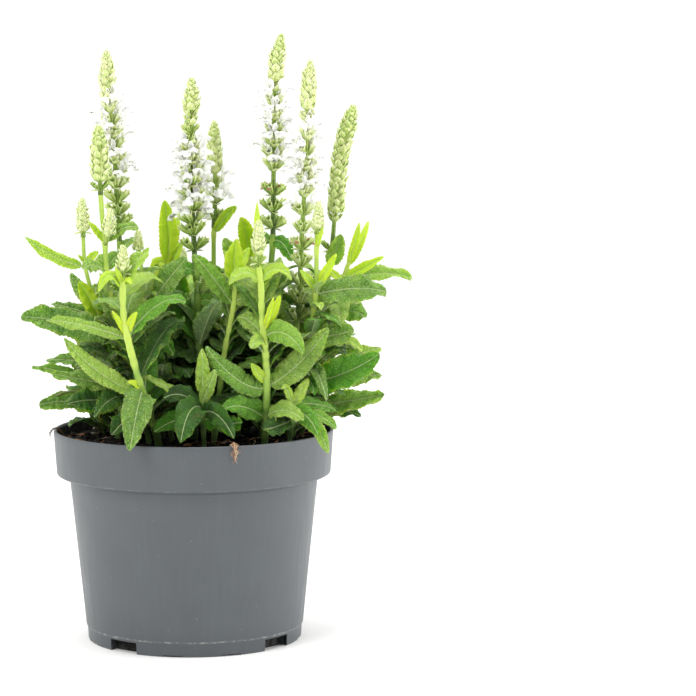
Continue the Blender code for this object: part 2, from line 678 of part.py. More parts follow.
def cut(thing, cutters):
    """Cut a collection of shapes out of an object, and remove them."""
    boolean = thing.modifiers.new("cut", "BOOLEAN")
    boolean.operation = "DIFFERENCE"
    boolean.operand_type = "COLLECTION"
    boolean.collection = cutters
    apply_modifiers(thing)
    empty(cutters)


def fuse(thing, others):
    """Join a collection of shapes to an object, and remove them."""
    boolean = thing.modifiers.new("fuse", "BOOLEAN")
    boolean.operation = "UNION"
    boolean.operand_type = "COLLECTION"
    boolean.collection = others
    boolean.solver = "MANIFOLD"
    apply_modifiers(thing)
    empty(others)


def empty(collection):
    """Remove a collection's objects."""
    for thing in list(collection.objects):
        bpy.data.objects.remove(thing, do_unlink=True)


def hide(thing):
    """Keep a cutter out of renders and show it as wire."""
    thing.hide_render = True
    thing.display_type = "WIRE"
    return thing


def foot_cutter(turn, width, height, cutters):
    """Box that cuts a gap of a width and height through the pot's foot ring."""
    bm = bmesh.new()
    bmesh.ops.create_cube(bm, size=1.0)
    bmesh.ops.scale(bm, vec=(14.0, width, height + 2.0), verts=bm.verts)
    shift = Matrix.Translation((WALL_FOOT_RADIUS - 0.8, 0.0, height / 2 - 1.0))
    bmesh.ops.transform(bm, matrix=Matrix.Rotation(turn - math.pi / 2, 4, "Z") @ shift, verts=bm.verts)
    hide(make_object("foot_gap", finish_mesh(bm, "foot_gap"), cutters))


def build_pot(parts, cutters, material):
    """Pot: turned wall with its tall rim band, raised floor, and a foot ring cut by gaps."""
    band_foot = POT_HEIGHT - BAND_HEIGHT
    band_radius = RIM_RADIUS - BAND_TAPER
    foot_radius = WALL_FOOT_RADIUS - FOOT_INSET
    profile = [
        (0.0, FLOOR_TOP),
        (WALL_FOOT_RADIUS - 5.6, FLOOR_TOP),
        (WALL_FOOT_RADIUS - 2.0, FLOOR_TOP + 2.0),
        (WALL_TOP_RADIUS - WALL, band_foot - 2.5),
        (band_radius - WALL, band_foot + 1.8),
        (RIM_RADIUS - 1.5, POT_HEIGHT),
        (RIM_RADIUS - 0.4, POT_HEIGHT),
        (RIM_RADIUS, POT_HEIGHT - 0.8),
        (band_radius, band_foot + 0.8),
        (band_radius - 0.7, band_foot - 0.4),
        (WALL_TOP_RADIUS + 0.2, band_foot - 3.4),
        (WALL_FOOT_RADIUS, FOOT_HEIGHT + 0.4),
        (foot_radius + 0.2, FOOT_HEIGHT),
        (foot_radius - 0.4, 0.4),
        (foot_radius - 0.8, 0.0),
        (foot_radius - 2.4, 0.0),
        (foot_radius - 2.8, FLOOR_UNDER),
        (PAD_RADIUS + 0.4, FLOOR_UNDER),
        (PAD_RADIUS, 0.0),
        (0.0, 0.0),
    ]
    pot = turned("pot", profile, parts, material)
    apply_modifiers(pot)
    for quarter in range(4):
        middle = NOTCH_TURN - math.pi / 4 + quarter * math.pi / 2
        foot_cutter(middle + math.pi / 4, NOTCH_WIDTH, NOTCH_HEIGHT, cutters)
        foot_cutter(middle - SLOT_TURN, SLOT_WIDTH, SLOT_HEIGHT, cutters)
        foot_cutter(middle + SLOT_TURN, SLOT_WIDTH, SLOT_HEIGHT, cutters)
    cut(pot, cutters)
    pot.data.shade_smooth()
    pot.data.set_sharp_from_angle(angle=math.radians(35))
    return pot


def build_soil(parts, material):
    """Soil: fills the pot below the rim, its top raised a little by noise."""
    band_foot = POT_HEIGHT - BAND_HEIGHT
    inner = RIM_RADIUS - BAND_TAPER - WALL - SOIL_GAP
    profile = [
        (0.0, SOIL_TOP),
        (27.0, SOIL_TOP),
        (52.0, SOIL_TOP),
        (72.0, SOIL_TOP),
        (inner + 0.5, SOIL_TOP - 1.0),
        (inner, band_foot + 2.3),
        (WALL_TOP_RADIUS - WALL - SOIL_GAP, band_foot - 2.1),
        (WALL_FOOT_RADIUS - 2.0 - SOIL_GAP, FLOOR_TOP + 2.4),
        (WALL_FOOT_RADIUS - 5.8, FLOOR_TOP + SOIL_GAP),
        (0.0, FLOOR_TOP + SOIL_GAP),
    ]
    soil = turned("soil", profile, parts, material)
    apply_modifiers(soil)
    for vertex in soil.data.vertices:
        if vertex.co.z > (SOIL_TOP - 2) * MM:
            vertex.co.z += SOIL_RELIEF * MM * noise.noise(vertex.co / MM * 0.045)
    return soil


def cut_stem_holes(soil, cutters):
    """Plain hole in the soil for each stem."""
    for stem in STEMS:
        radius = (stem.thick[0] + HOLE_GAP) / math.cos(math.pi / HOLE_SIDES)
        depth = SOIL_TOP + 12 - HOLE_FLOOR
        bm = bmesh.new()
        bmesh.ops.create_cone(bm, cap_ends=True, segments=HOLE_SIDES, radius1=radius, radius2=radius,
                              depth=depth, matrix=Matrix.Translation((*stem.foot, HOLE_FLOOR + depth / 2)))
        hide(make_object("stem_hole", finish_mesh(bm, "stem_hole"), cutters))
    cut(soil, cutters)


def head_places(head, stem):
    """Axis of a head, from just above its stem's top to its tip."""
    top = stem_knots(stem)[-1]
    route = [seen(*place) for place in head.route]
    first = top + (route[0] - top).normalized() * SEAT_GAP
    return smooth([first] + route, FINE_STEP)


def build_heads(parts, extras, stems, material):
    """Flower heads, each seated on its stem, with open florets fused on."""
    obstacles = []
    for number, head in enumerate(HEADS):
        kind = KINDS[head.kind]
        places = head_places(head, stems[head.stem])
        thing = make_object(head.name, finish_mesh(head_bmesh(kind, places), head.name), parts, material)
        florets = head_florets(kind, places, number)
        for floret in florets:
            make_object("floret", finish_mesh(floret_bmesh(*floret), "floret"), extras)
        if florets:
            fuse(thing, extras)
        obstacles.append((head.name, tree_of(thing.data)))
    return obstacles


def build_stems(parts, extras, stems, obstacles, material):
    """Leafy stems: a four-sided stem with its leaves, and a side bud where it has one, fused."""
    tubes = {}
    for stem in STEMS:
        places = smooth(stem_knots(stem), STEM_STEP)
        tubes[stem.name] = tube_mesh(stem.name, places, stem.thick)
        obstacles.append((stem.name, tree_of(tubes[stem.name])))
    side_buds = []
    for name, height, route in SIDE_BUDS:
        places = smooth([stem_place(stems[name], height)] + [seen(*place) for place in route], FINE_STEP)
        mesh = finish_mesh(head_bmesh(KINDS["bud"], places), "side_bud")
        side_buds.append((name, mesh))
        obstacles.append((name, tree_of(mesh)))
    grown = place_leaves(obstacles)
    for stem in STEMS:
        thing = make_object(stem.name, tubes[stem.name], parts, material)
        for leaf in grown[stem.name]:
            make_object("leaf", leaf_mesh(leaf), extras)
        for name, mesh in side_buds:
            if name == stem.name:
                make_object("side_bud", mesh, extras)
        fuse(thing, extras)


def main():
    """Build the pot, the soil and the plant."""
    clear_scene()
    parts = make_collection("potted_salvia")
    cutters = make_collection("cutters")
    extras = make_collection("to_fuse")
    plastic = make_material("grey_polypropylene", (0.15, 0.165, 0.175), 0.45)
    peat = make_material("peat", (0.018, 0.012, 0.008), 0.95)
    leaf_green = make_material("leaf_green", (0.13, 0.26, 0.04), 0.6)
    bud_green = make_material("bud_green", (0.5, 0.6, 0.2), 0.65)
    stems = {stem.name: stem for stem in STEMS}
    pot = build_pot(parts, cutters, plastic)
    soil = build_soil(parts, peat)
    obstacles = [("pot", tree_of(pot.data)), ("soil", tree_of(soil.data))]
    cut_stem_holes(soil, cutters)
    obstacles += build_heads(parts, extras, stems, bud_green)
    build_stems(parts, extras, stems, obstacles, leaf_green)


main()
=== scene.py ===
"""Looks of a white meadow sage in a grey nursery pot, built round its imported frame.

Lengths are in millimetres; MM turns them into metres when a mesh is made. A place on the plant is
written (x, z, y): x and z as they show from the front, in the upright plane through the pot's axis,
and y as the depth. Each leaf, stem and flower head stands where the frame's own solid stands.
"""

import json
import logging
from collections.abc import Callable, Iterator, Sequence
from dataclasses import dataclass, field, replace
from enum import Enum
from functools import partial
from itertools import product
from math import cos, dist, hypot, pi, radians, sin, sqrt, tau
from random import Random

import bmesh
import bpy
import numpy as np
from mathutils import Matrix, Vector, noise
from mathutils.bvhtree import BVHTree

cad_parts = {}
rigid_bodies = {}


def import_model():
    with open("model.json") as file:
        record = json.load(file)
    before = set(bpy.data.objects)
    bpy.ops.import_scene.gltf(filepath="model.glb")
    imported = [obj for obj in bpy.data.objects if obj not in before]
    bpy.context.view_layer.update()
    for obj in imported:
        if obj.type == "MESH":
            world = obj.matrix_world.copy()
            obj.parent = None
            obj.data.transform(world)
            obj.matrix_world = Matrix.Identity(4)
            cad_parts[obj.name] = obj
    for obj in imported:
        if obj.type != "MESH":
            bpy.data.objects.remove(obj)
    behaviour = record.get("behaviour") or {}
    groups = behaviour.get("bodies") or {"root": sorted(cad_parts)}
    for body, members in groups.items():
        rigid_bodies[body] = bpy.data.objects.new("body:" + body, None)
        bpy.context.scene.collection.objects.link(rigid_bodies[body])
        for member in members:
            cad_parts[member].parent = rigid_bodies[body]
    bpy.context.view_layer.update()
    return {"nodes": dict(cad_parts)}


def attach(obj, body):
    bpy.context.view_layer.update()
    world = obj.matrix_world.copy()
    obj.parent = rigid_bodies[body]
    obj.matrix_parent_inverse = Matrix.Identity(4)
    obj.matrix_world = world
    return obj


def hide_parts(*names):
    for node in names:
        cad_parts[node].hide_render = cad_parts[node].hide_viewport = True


# Types by short names
Array = np.ndarray
Material = bpy.types.Material
Pair = tuple[float, float]
Triple = tuple[float, float, float]

LOG = logging.getLogger("potted_salvia")
MM = 0.001
UP = Vector((0.0, 0.0, 1.0))
EYE = Vector((0.0, -1640.0, 349.0))

# Levels in the pot that the soil and the stems share
POT_HEIGHT = 128.0
RIM_RADIUS = 85.0
SOIL_TOP = 120.0
STEM_FOOT = 104.4


def linear(colour: str) -> tuple[float, float, float, float]:
    """Linear colour, with an alpha of 1, of an sRGB hex value such as #A6C634."""
    parts = [int(colour[i:i + 2], 16) / 255 for i in (1, 3, 5)]
    return (*(p / 12.92 if p <= 0.04045 else ((p + 0.055) / 1.055) ** 2.4 for p in parts), 1.0)


def mix(low: float, high: float, share: float) -> float:
    """Value between low and high."""
    return low + (high - low) * share


def seen(x: float, z: float, y: float) -> Vector:
    """Place of what shows at (x, z) from the front and lies at depth y."""
    reach = (y - EYE.y) / -EYE.y
    return Vector((x * reach, y, EYE.z + (z - EYE.z) * reach))


def as_seen(place: Vector) -> Pair:
    """x and z at which a place shows from the front."""
    reach = (place.y - EYE.y) / -EYE.y
    return place.x / reach, EYE.z + (place.z - EYE.z) / reach


def smooth(knots: Sequence[Vector], step: float) -> list[Vector]:
    """Places along one smooth curve through the knots.

    Args:
        knots: places that the curve passes.
        step: rough distance between the places returned.

    Returns:
        The places, both ends included.
    """
    ends = [2 * knots[0] - knots[1], *knots, 2 * knots[-1] - knots[-2]]
    places = []
    for a, b, c, d in zip(ends, ends[1:], ends[2:], ends[3:]):
        count = max(1, round((c - b).length / step))
        for i in range(count):
            t = i / count
            places.append(0.5 * (2 * b + (c - a) * t + (2 * a - 5 * b + 4 * c - d) * t ** 2
                                 + (3 * b - a - 3 * c + d) * t ** 3))
    places.append(knots[-1])
    return places


def level(places: Sequence[Vector], height: float) -> tuple[Vector, Vector]:
    """Where a line passes a height.

    Args:
        places: the line, from low to high.
        height: height at which the place shows from the front.

    Returns:
        The place and the line's direction there.
    """
    for low, high in zip(places, places[1:]):
        z_low, z_high = as_seen(low)[1], as_seen(high)[1]
        if height <= z_high:
            return low.lerp(high, max(0.0, height - z_low) / (z_high - z_low)), (high - low).normalized()
    return places[-1], (places[-1] - places[-2]).normalized()


# Property that holds a node's way of working
WAYS = {"Math": "operation", "Mix": "data_type", "MapRange": "interpolation_type", "TexVoronoi": "feature"}
MIXED = 2  # number of a Mix node's colour output


def feed(tree: bpy.types.NodeTree, node: bpy.types.Node, inputs: dict | list) -> None:
    """Set or link a node's inputs.

    Args:
        tree: the node's tree.
        node: the node.
        inputs: hex colour, other value, socket or node for each input, in order or by name or number.
    """
    for key, value in inputs.items() if isinstance(inputs, dict) else enumerate(inputs):
        if isinstance(value, bpy.types.Node):
            value = value.outputs[MIXED if value.bl_idname == "ShaderNodeMix" else 0]
        elif isinstance(value, str):
            value = linear(value)
        if isinstance(value, bpy.types.NodeSocket):
            tree.links.new(value, node.inputs[key])
        else:
            node.inputs[key].default_value = value


def add_node(tree: bpy.types.NodeTree, kind: str, inputs: dict | list = (), **settings) -> bpy.types.Node:
    """Add a shader node with its settings and links.

    Args:
        tree: the material's or world's nodes.
        kind: its type without "ShaderNode", and after a blank its way of working; or a Math operation.
        inputs: what feeds its inputs.
        settings: more properties of it; "stops" holds a colour ramp's (place, hex colour) pairs.

    Returns:
        The new node.
    """
    kind, _, way = ("Math " + kind if kind.isupper() else kind).partition(" ")
    node = tree.nodes.new("ShaderNode" + kind)
    if way:
        setattr(node, WAYS[kind], way)
    for name, value in settings.items():
        if name == "stops":
            stops = node.color_ramp.elements
            for i, (place, colour) in enumerate(value):
                stop = stops[i] if i < 2 else stops.new(place)
                stop.position = place
                stop.color = linear(colour)
        else:
            setattr(node, name, value)
    feed(tree, node, inputs)
    return node


@dataclass(frozen=True)
class Finish:
    """A surface: its name, its gloss and how its nodes are wired."""

    name: str
    roughness: float
    ior: float = 1.45

    def make(self) -> Material:
        """Build the material.

        Returns:
            The material, its Principled shader dressed by wire().
        """
        material = bpy.data.materials.new(self.name)
        material.use_nodes = True
        tree = material.node_tree
        dress = partial(feed, tree, tree.nodes["Principled BSDF"])
        dress({"Roughness": self.roughness, "IOR": self.ior})
        self.wire(partial(add_node, tree), dress)
        return material

    def wire(self, add: Callable, dress: Callable) -> None:
        """Wire what is special to the surface: add adds a node, dress feeds the Principled shader."""
        raise NotImplementedError

    def read(self, add: Callable) -> tuple[bpy.types.Node, bpy.types.NodeSocket]:
        """The mesh's tone, split into its shares, and its chart."""
        split = add("SeparateColor", [add("Attribute", attribute_name="tone")])
        return split, add("Attribute", attribute_name="chart").outputs["Vector"]


@dataclass(frozen=True)
class Polypropylene(Finish):
    """Grey polypropylene, injection moulded: a satin skin with faint flow marks, scuffs, dusty specks and
    painted highlights on its steps.
    """

    colour: str = "#4A4E52"
    pale: str = "#5B6064"
    # Pale colour of the specks and of the painted highlight lines on the steps
    dust_and_highlight: str = "#B9B8B2"
    # Heights of the two steps and the strength of the pale line there: grit and a painted highlight
    edges: tuple = ((0.0088, 0.55), (0.1013, 0.12))
    # Soiling and painted shade on the inner wall, painted shade under the floor
    stain_and_shade_colour: str = "#100D0A"

    def wire(self, add: Callable, dress: Callable) -> None:
        """Wire cloudy grey, dusty specks and a slightly uneven gloss; the tone's red is soiling and painted
        shade.

        Args:
            add: adds a node.
            dress: feeds the Principled shader.
        """
        place = add("TexCoord").outputs["Object"]
        # Flow clouds about 25 mm wide
        cloud = add("TexNoise", {"Vector": place, "Scale": 40.0, "Detail": 4.0})
        # Draw marks from the mould: 3 mm wide and 60 mm tall
        tall = add("Mapping", {"Vector": place, "Scale": (330.0, 330.0, 16.0)})
        drawn = add("TexNoise", {"Vector": tall, "Scale": 1.0, "Detail": 3.0})
        share = add("MULTIPLY", [cloud, drawn])
        grey = add("Mix RGBA", {0: share, 6: self.colour, 7: self.pale})
        # Dust specks about 0.4 mm wide
        speck = add("TexVoronoi F1", {"Vector": place, "Scale": 150.0})
        grain = add("TexNoise", {"Vector": place, "Scale": 330.0, "Detail": 2.0})
        gate = add("MULTIPLY", [speck, grain])
        loose = add("MapRange", [gate, 0.03, 0.015, 0.0, 0.2])
        # Grit caught along the two steps of the wall, with a painted highlight where their edges catch the
        # light
        dust_and_highlight = loose
        for edge, much in self.edges:
            rise = add("SeparateXYZ", [place]).outputs[2]
            off = add("SUBTRACT", [rise, edge])
            near = add("ABSOLUTE", [off])
            band = add("MapRange", [near, 0.0009, 0.0002, 0.0, 1.0])
            patchy = add("MapRange", [grain, 0.46, 0.6, 0.15 * much, much])
            line = add("MULTIPLY", [band, patchy])
            dust_and_highlight = add("MAXIMUM", [dust_and_highlight, line])
        # Mix in the pale specks and the painted highlight lines
        clean = add("Mix RGBA", {0: dust_and_highlight, 6: grey, 7: self.dust_and_highlight})
        # The tone's red marks soiling and painted shade inside the band and under the floor
        inside = add("SeparateColor", [add("Attribute", attribute_name="tone")])
        smear = add("MapRange", [grain, 0.3, 0.6, 1.3, 0.8])
        stain_and_shade = add("MULTIPLY", [smear, inside], use_clamp=True)
        base = add("Mix RGBA", {0: stain_and_shade, 6: clean, 7: self.stain_and_shade_colour})
        gloss = add("MapRange", [drawn, 0.3, 0.7, self.roughness - 0.06, self.roughness + 0.08])
        dull = add("MAXIMUM", [gloss, stain_and_shade])
        # Grain of the mould's face, about 1 mm: drawn coarser than the real 0.2 mm so that it shows
        skin = add("TexNoise", {"Vector": place, "Scale": 900.0, "Detail": 3.0})
        bump = add("Bump", {"Height": skin, "Strength": 0.12, "Distance": 0.0004})
        dress({"Base Color": base, "Roughness": dull, "Normal": bump})


@dataclass(frozen=True)
class PeatMix(Finish):
    """Moist peat: near-black crumbs with browner fibre in them, and almost no gloss."""

    dark: str = "#0A0806"
    brown: str = "#261B14"

    def wire(self, add: Callable, dress: Callable) -> None:
        """Wire dark and brown grains, the tone's red saying how brown a crumb is.

        Args:
            add: adds a node.
            dress: feeds the Principled shader.
        """
        place = add("TexCoord").outputs["Object"]
        brownness = add("SeparateColor", [add("Attribute", attribute_name="tone")])
        # Grains of 1 to 2 mm
        grain = add("TexNoise", {"Vector": place, "Scale": 700.0, "Detail": 5.0})
        lift = add("MapRange", [grain, 0.45, 0.75])
        share = add("MULTIPLY_ADD", [lift, 0.45, brownness])
        base = add("Mix RGBA", {0: share, 6: self.dark, 7: self.brown}, clamp_factor=True)
        bump = add("Bump", {"Height": grain, "Strength": 0.8, "Distance": 0.0008})
        dress({"Base Color": base, "Normal": bump})


@dataclass(frozen=True)
class DryLitter(Finish):
    """Dry roots, bark and perlite: dull, from dark bark through straw to white by the tone's red."""

    stops: tuple = ((0.0, "#2C1C12"), (0.3, "#5F4128"), (0.5, "#A0714F"), (0.7, "#C6A47C"), (1.0, "#E4E0D6"))

    def wire(self, add: Callable, dress: Callable) -> None:
        """Wire the litter's tone and its streaky bump.

        Args:
            add: adds a node.
            dress: feeds the Principled shader.
        """
        place = add("TexCoord").outputs["Object"]
        kind = add("SeparateColor", [add("Attribute", attribute_name="tone")])
        # Streaks about 0.8 mm wide
        streak = add("TexNoise", {"Vector": place, "Scale": 1200.0, "Detail": 3.0})
        share = add("MULTIPLY_ADD", [streak, 0.22, kind])
        low = add("SUBTRACT", [share, 0.11])
        base = add("ValToRGB", [low], stops=self.stops)
        bump = add("Bump", {"Height": streak, "Strength": 0.5, "Distance": 0.0004})
        dress({"Base Color": base, "Normal": bump})


@dataclass(frozen=True)
class LeafTissue(Finish):
    """Living sage leaf: netted and puckered, dull with down, thin enough for light to come through."""

    # Yellow-green in a young leaf, olive in a grown one, deep green in an old one, brown in a dry one
    ages: tuple = ((0.0, "#B8CF26"), (0.2, "#A6C634"), (0.38, "#9CBC4C"), (0.55, "#84A844"),
                   (0.75, "#46721C"), (0.9, "#1C4009"), (1.0, "#5F4226"))
    lush: str = "#4F940E"
    # Painted shade in the creases between the cells and along the side veins
    crease: str = "#284614"
    down: str = "#C4D0B0"
    underside: str = "#A8B888"
    rib: str = "#C8D4A0"
    vein_pitch: float = 5.2
    vein_lag: float = 0.8
    cell: float = 1.5

    def lines(self, add: Callable, chart: bpy.types.NodeSocket, far: bpy.types.NodeSocket) -> tuple:
        """Wire the pattern of the veins.

        Args:
            add: adds a node.
            chart: place on the leaf in mm, along and across it.
            far: share of the leaf's length.

        Returns:
            Sockets for midrib and side veins, 1 on the vein, and for the cells, 1 in a cell's middle.
        """
        axes = add("SeparateXYZ", [chart])
        aside = add("ABSOLUTE", [axes.outputs[1]])
        # Midrib 1.1 mm wide at the stalk, thinner to the tip
        taper = add("MULTIPLY_ADD", [far, 1.3, 1.0])
        broad = add("MULTIPLY", [aside, taper])
        rib = add("MapRange SMOOTHSTEP", [broad, 0.75, 0.25])
        # Side veins slant to the tip, unevenly
        bend = add("TexNoise", {"Vector": chart, "Scale": 0.2, "Detail": 2.0})
        lag = add("MULTIPLY", [aside, self.vein_lag])
        run = add("SUBTRACT", [axes, lag])
        stray = add("MULTIPLY_ADD", [bend, 5.0, run])
        off = add("PINGPONG", [stray, self.vein_pitch / 2])
        side = add("MapRange SMOOTHSTEP", [off, 0.42, 0.08])
        # Net of the smallest veins, whose cells are cell mm wide
        net = add("TexVoronoi DISTANCE_TO_EDGE", {"Vector": chart, "Scale": 1 / self.cell})
        dome = add("MapRange SMOOTHSTEP", [net, 0.0, 0.2])
        return rib, side, dome

    def wire(self, add: Callable, dress: Callable) -> None:
        """Wire age, veins and net; tone is (age, upper face, chance), with the share as alpha.

        Args:
            add: adds a node.
            dress: feeds the Principled shader.
        """
        tone = add("Attribute", attribute_name="tone")
        split = add("SeparateColor", [tone])
        age, upper, chance = split.outputs[:3]
        chart = add("Attribute", attribute_name="chart").outputs["Vector"]
        rib, side, dome = self.lines(add, chart, tone.outputs["Alpha"])
        # Patches 7 mm wide, fainter in a young leaf
        patch = add("TexNoise", {"Vector": chart, "Scale": 1 / 7, "Detail": 3.0})
        drift = add("SUBTRACT", [patch, 0.5])
        spread = add("MapRange", [age, 0.1, 0.6, 0.06, 0.34])
        older = add("MULTIPLY_ADD", [drift, spread, age], use_clamp=True)
        green = add("ValToRGB", [older], stops=self.ages)
        # Some grown leaves are of a fuller green
        some = add("MapRange", [chance, 0.56, 0.8, 0.0, 0.65])
        adult = add("MapRange", [age, 0.3, 0.5])
        full = add("MULTIPLY", [some, adult])
        fresh = add("Mix RGBA", {0: full, 6: green, 7: self.lush})
        under = add("MapRange", {0: upper, 3: 0.5, 4: 0.0})
        faced = add("Mix RGBA", {0: under, 6: fresh, 7: self.underside})
        # Dark creases between the cells and along the side veins as painted shade, and pale down on their
        # crowns in clumps 1.5 mm wide
        grown = add("MapRange", [age, 0.12, 0.55, 0.12, 1.0])
        low = add("MapRange", {0: dome, 3: 0.34, 4: 0.0})
        deep = add("MULTIPLY_ADD", [side, 0.25, low])
        crease_shade = add("MULTIPLY", [deep, grown], use_clamp=True)
        # Mix in the painted shade of the creases
        netted = add("Mix RGBA", {0: crease_shade, 6: faced, 7: self.crease})
        clump = add("TexNoise", {"Vector": chart, "Scale": 0.7, "Detail": 4.0})
        fuzz = add("MapRange", [clump, 0.4, 0.7, 0.0, 0.22])
        # Old leaves have lost most of it
        left = add("MapRange", [age, 0.7, 0.88, 1.0, 0.25])
        thin = add("MULTIPLY", [fuzz, left])
        crown = add("MULTIPLY", [thin, dome])
        bare = add("SUBTRACT", [grown, full], use_clamp=True)
        hoar = add("MULTIPLY", [crown, bare])
        downy = add("Mix RGBA", {0: hoar, 6: netted, 7: self.down})
        # The midrib pales less in a young leaf
        bold = add("MapRange", [age, 0.0, 0.5, 0.25, 0.6])
        heavy = add("MULTIPLY", [rib, bold])
        base = add("Mix RGBA", {0: heavy, 6: downy, 7: self.rib})
        # Cells bulge up between sunk veins on the upper face, and the veins stand out below
        sunk = add("MULTIPLY_ADD", [side, -0.6, dome])
        way = add("MapRange", {0: upper, 3: -0.6, 4: 1.0})
        stiff = add("MULTIPLY", [way, grown])
        height = add("MULTIPLY", [sunk, stiff])
        bump = add("Bump", {"Height": height, "Strength": 0.9, "Distance": 0.00045})
        dress({"Base Color": base, "Normal": bump, "Specular IOR Level": 0.32, "Subsurface Weight": 0.4,
               "Subsurface Radius": (0.6, 1.0, 0.08), "Subsurface Scale": 0.0015, "Sheen Weight": 0.04,
               "Sheen Roughness": 0.5, "Sheen Tint": self.down})


@dataclass(frozen=True)
class StemTissue(Finish):
    """Square green stem: four ridges with paler grooves, short down, light coming a little way in."""

    ages: tuple = ((0.0, "#B9D05A"), (0.3, "#94B548"), (0.6, "#6A8C38"), (1.0, "#3F5C28"))

    def wire(self, add: Callable, dress: Callable) -> None:
        """Wire the stem's age and its length-wise lines.

        Args:
            add: adds a node.
            dress: feeds the Principled shader.
        """
        split, chart = self.read(add)
        # Fibres 0.5 mm wide and some 12 mm long
        long = add("Mapping", {"Vector": chart, "Scale": (0.08, 2.0, 1.0)})
        fibre = add("TexNoise", {"Vector": long, "Scale": 1.0, "Detail": 3.0})
        drift = add("MULTIPLY_ADD", [fibre, 0.36, -0.18])
        older = add("ADD", [split, drift], use_clamp=True)
        green = add("ValToRGB", [older], stops=self.ages)
        bump = add("Bump", {"Height": fibre, "Strength": 0.4, "Distance": 0.0003})
        dress({"Base Color": green, "Normal": bump, "Subsurface Weight": 0.25,
               "Subsurface Radius": (0.6, 1.0, 0.2), "Subsurface Scale": 0.0012, "Sheen Weight": 0.15,
               "Sheen Tint": "#E6EFD0"})


@dataclass(frozen=True)
class HuskTissue(Finish):
    """Calyx and bract: thin ribbed husks, pale at the lip, downy."""

    stops: tuple = ((0.0, "#F0F4D4"), (0.35, "#C6D484"), (0.65, "#84A238"), (1.0, "#2E4A16"))
    rib_pitch: float = 0.9

    def wire(self, add: Callable, dress: Callable) -> None:
        """Wire the depth of green and the ribs; the chart's y runs round the husk.

        Args:
            add: adds a node.
            dress: feeds the Principled shader.
        """
        split, chart = self.read(add)
        around = add("SeparateXYZ", [chart]).outputs[1]
        off = add("PINGPONG", [around, self.rib_pitch / 2])
        rib = add("MapRange SMOOTHSTEP", [off, 0.32, 0.08])
        # Blotches 2 mm wide
        blotch = add("TexNoise", {"Vector": chart, "Scale": 0.5, "Detail": 3.0})
        drift = add("MULTIPLY_ADD", [blotch, 0.5, -0.25])
        ribbed = add("MULTIPLY_ADD", [rib, 0.14, drift])
        deep = add("ADD", [split, ribbed], use_clamp=True)
        green = add("ValToRGB", [deep], stops=self.stops)
        bump = add("Bump", {"Height": rib, "Strength": 0.5, "Distance": 0.0002})
        dress({"Base Color": green, "Normal": bump, "Subsurface Weight": 0.3,
               "Subsurface Radius": (0.6, 1.0, 0.25), "Subsurface Scale": 0.001, "Sheen Weight": 0.2,
               "Sheen Tint": "#F2F6DE"})


@dataclass(frozen=True)
class PetalTissue(Finish):
    """Petal: thin and soft, its cells scattering light like fine paper."""

    throat: str = "#E4E9CC"
    lobe: str = "#F8F8F5"

    def wire(self, add: Callable, dress: Callable) -> None:
        """Wire the throat's tint into the lobe's by the tone's red.

        Args:
            add: adds a node.
            dress: feeds the Principled shader.
        """
        split, chart = self.read(add)
        # Fine veins 0.6 mm apart
        crease = add("Mapping", {"Vector": chart, "Scale": (0.25, 1.7, 1.0)})
        vein = add("TexNoise", {"Vector": crease, "Scale": 1.0, "Detail": 2.0})
        base = add("Mix RGBA", {0: split, 6: self.throat, 7: self.lobe})
        bump = add("Bump", {"Height": vein, "Strength": 0.25, "Distance": 0.0003})
        dress({"Base Color": base, "Normal": bump, "Subsurface Weight": 0.7,
               "Subsurface Radius": (1.0, 1.0, 0.95), "Subsurface Scale": 0.0016})


@dataclass(frozen=True)
class BackdropPaper(Finish):
    """Seamless paper: matt and nearly white, with a trace of fibre."""

    colour: str = "#F6F6F4"

    def wire(self, add: Callable, dress: Callable) -> None:
        """Wire the paper's even tone and faint fibre.

        Args:
            add: adds a node.
            dress: feeds the Principled shader.
        """
        place = add("TexCoord").outputs["Object"]
        # Fibre clumps 4 mm wide: drawn coarser than the real 0.5 mm so that they show at all
        fibre = add("TexNoise", {"Vector": place, "Scale": 250.0, "Detail": 4.0})
        bump = add("Bump", {"Height": fibre, "Strength": 0.05, "Distance": 0.0005})
        dress({"Base Color": self.colour, "Normal": bump})


# Tone and chart that a surface reads: tone is four shares from 0 to 1, chart a place on it in mm
PLAIN_TONE = (0.5, 1.0, 0.5, 0.5)
PLAIN_CHART = (0.0, 0.0, 0.0)


def stacked(*shares: Array | float) -> Array:
    """Tones or chart places whose shares are brought to one shape."""
    return np.stack(np.broadcast_arrays(*shares), -1)


def reddened(red: Array, shape: tuple[int, int]) -> Array:
    """Tones that differ in their red only."""
    return stacked(np.broadcast_to(red, shape), 1.0, 0.5, 0.5)


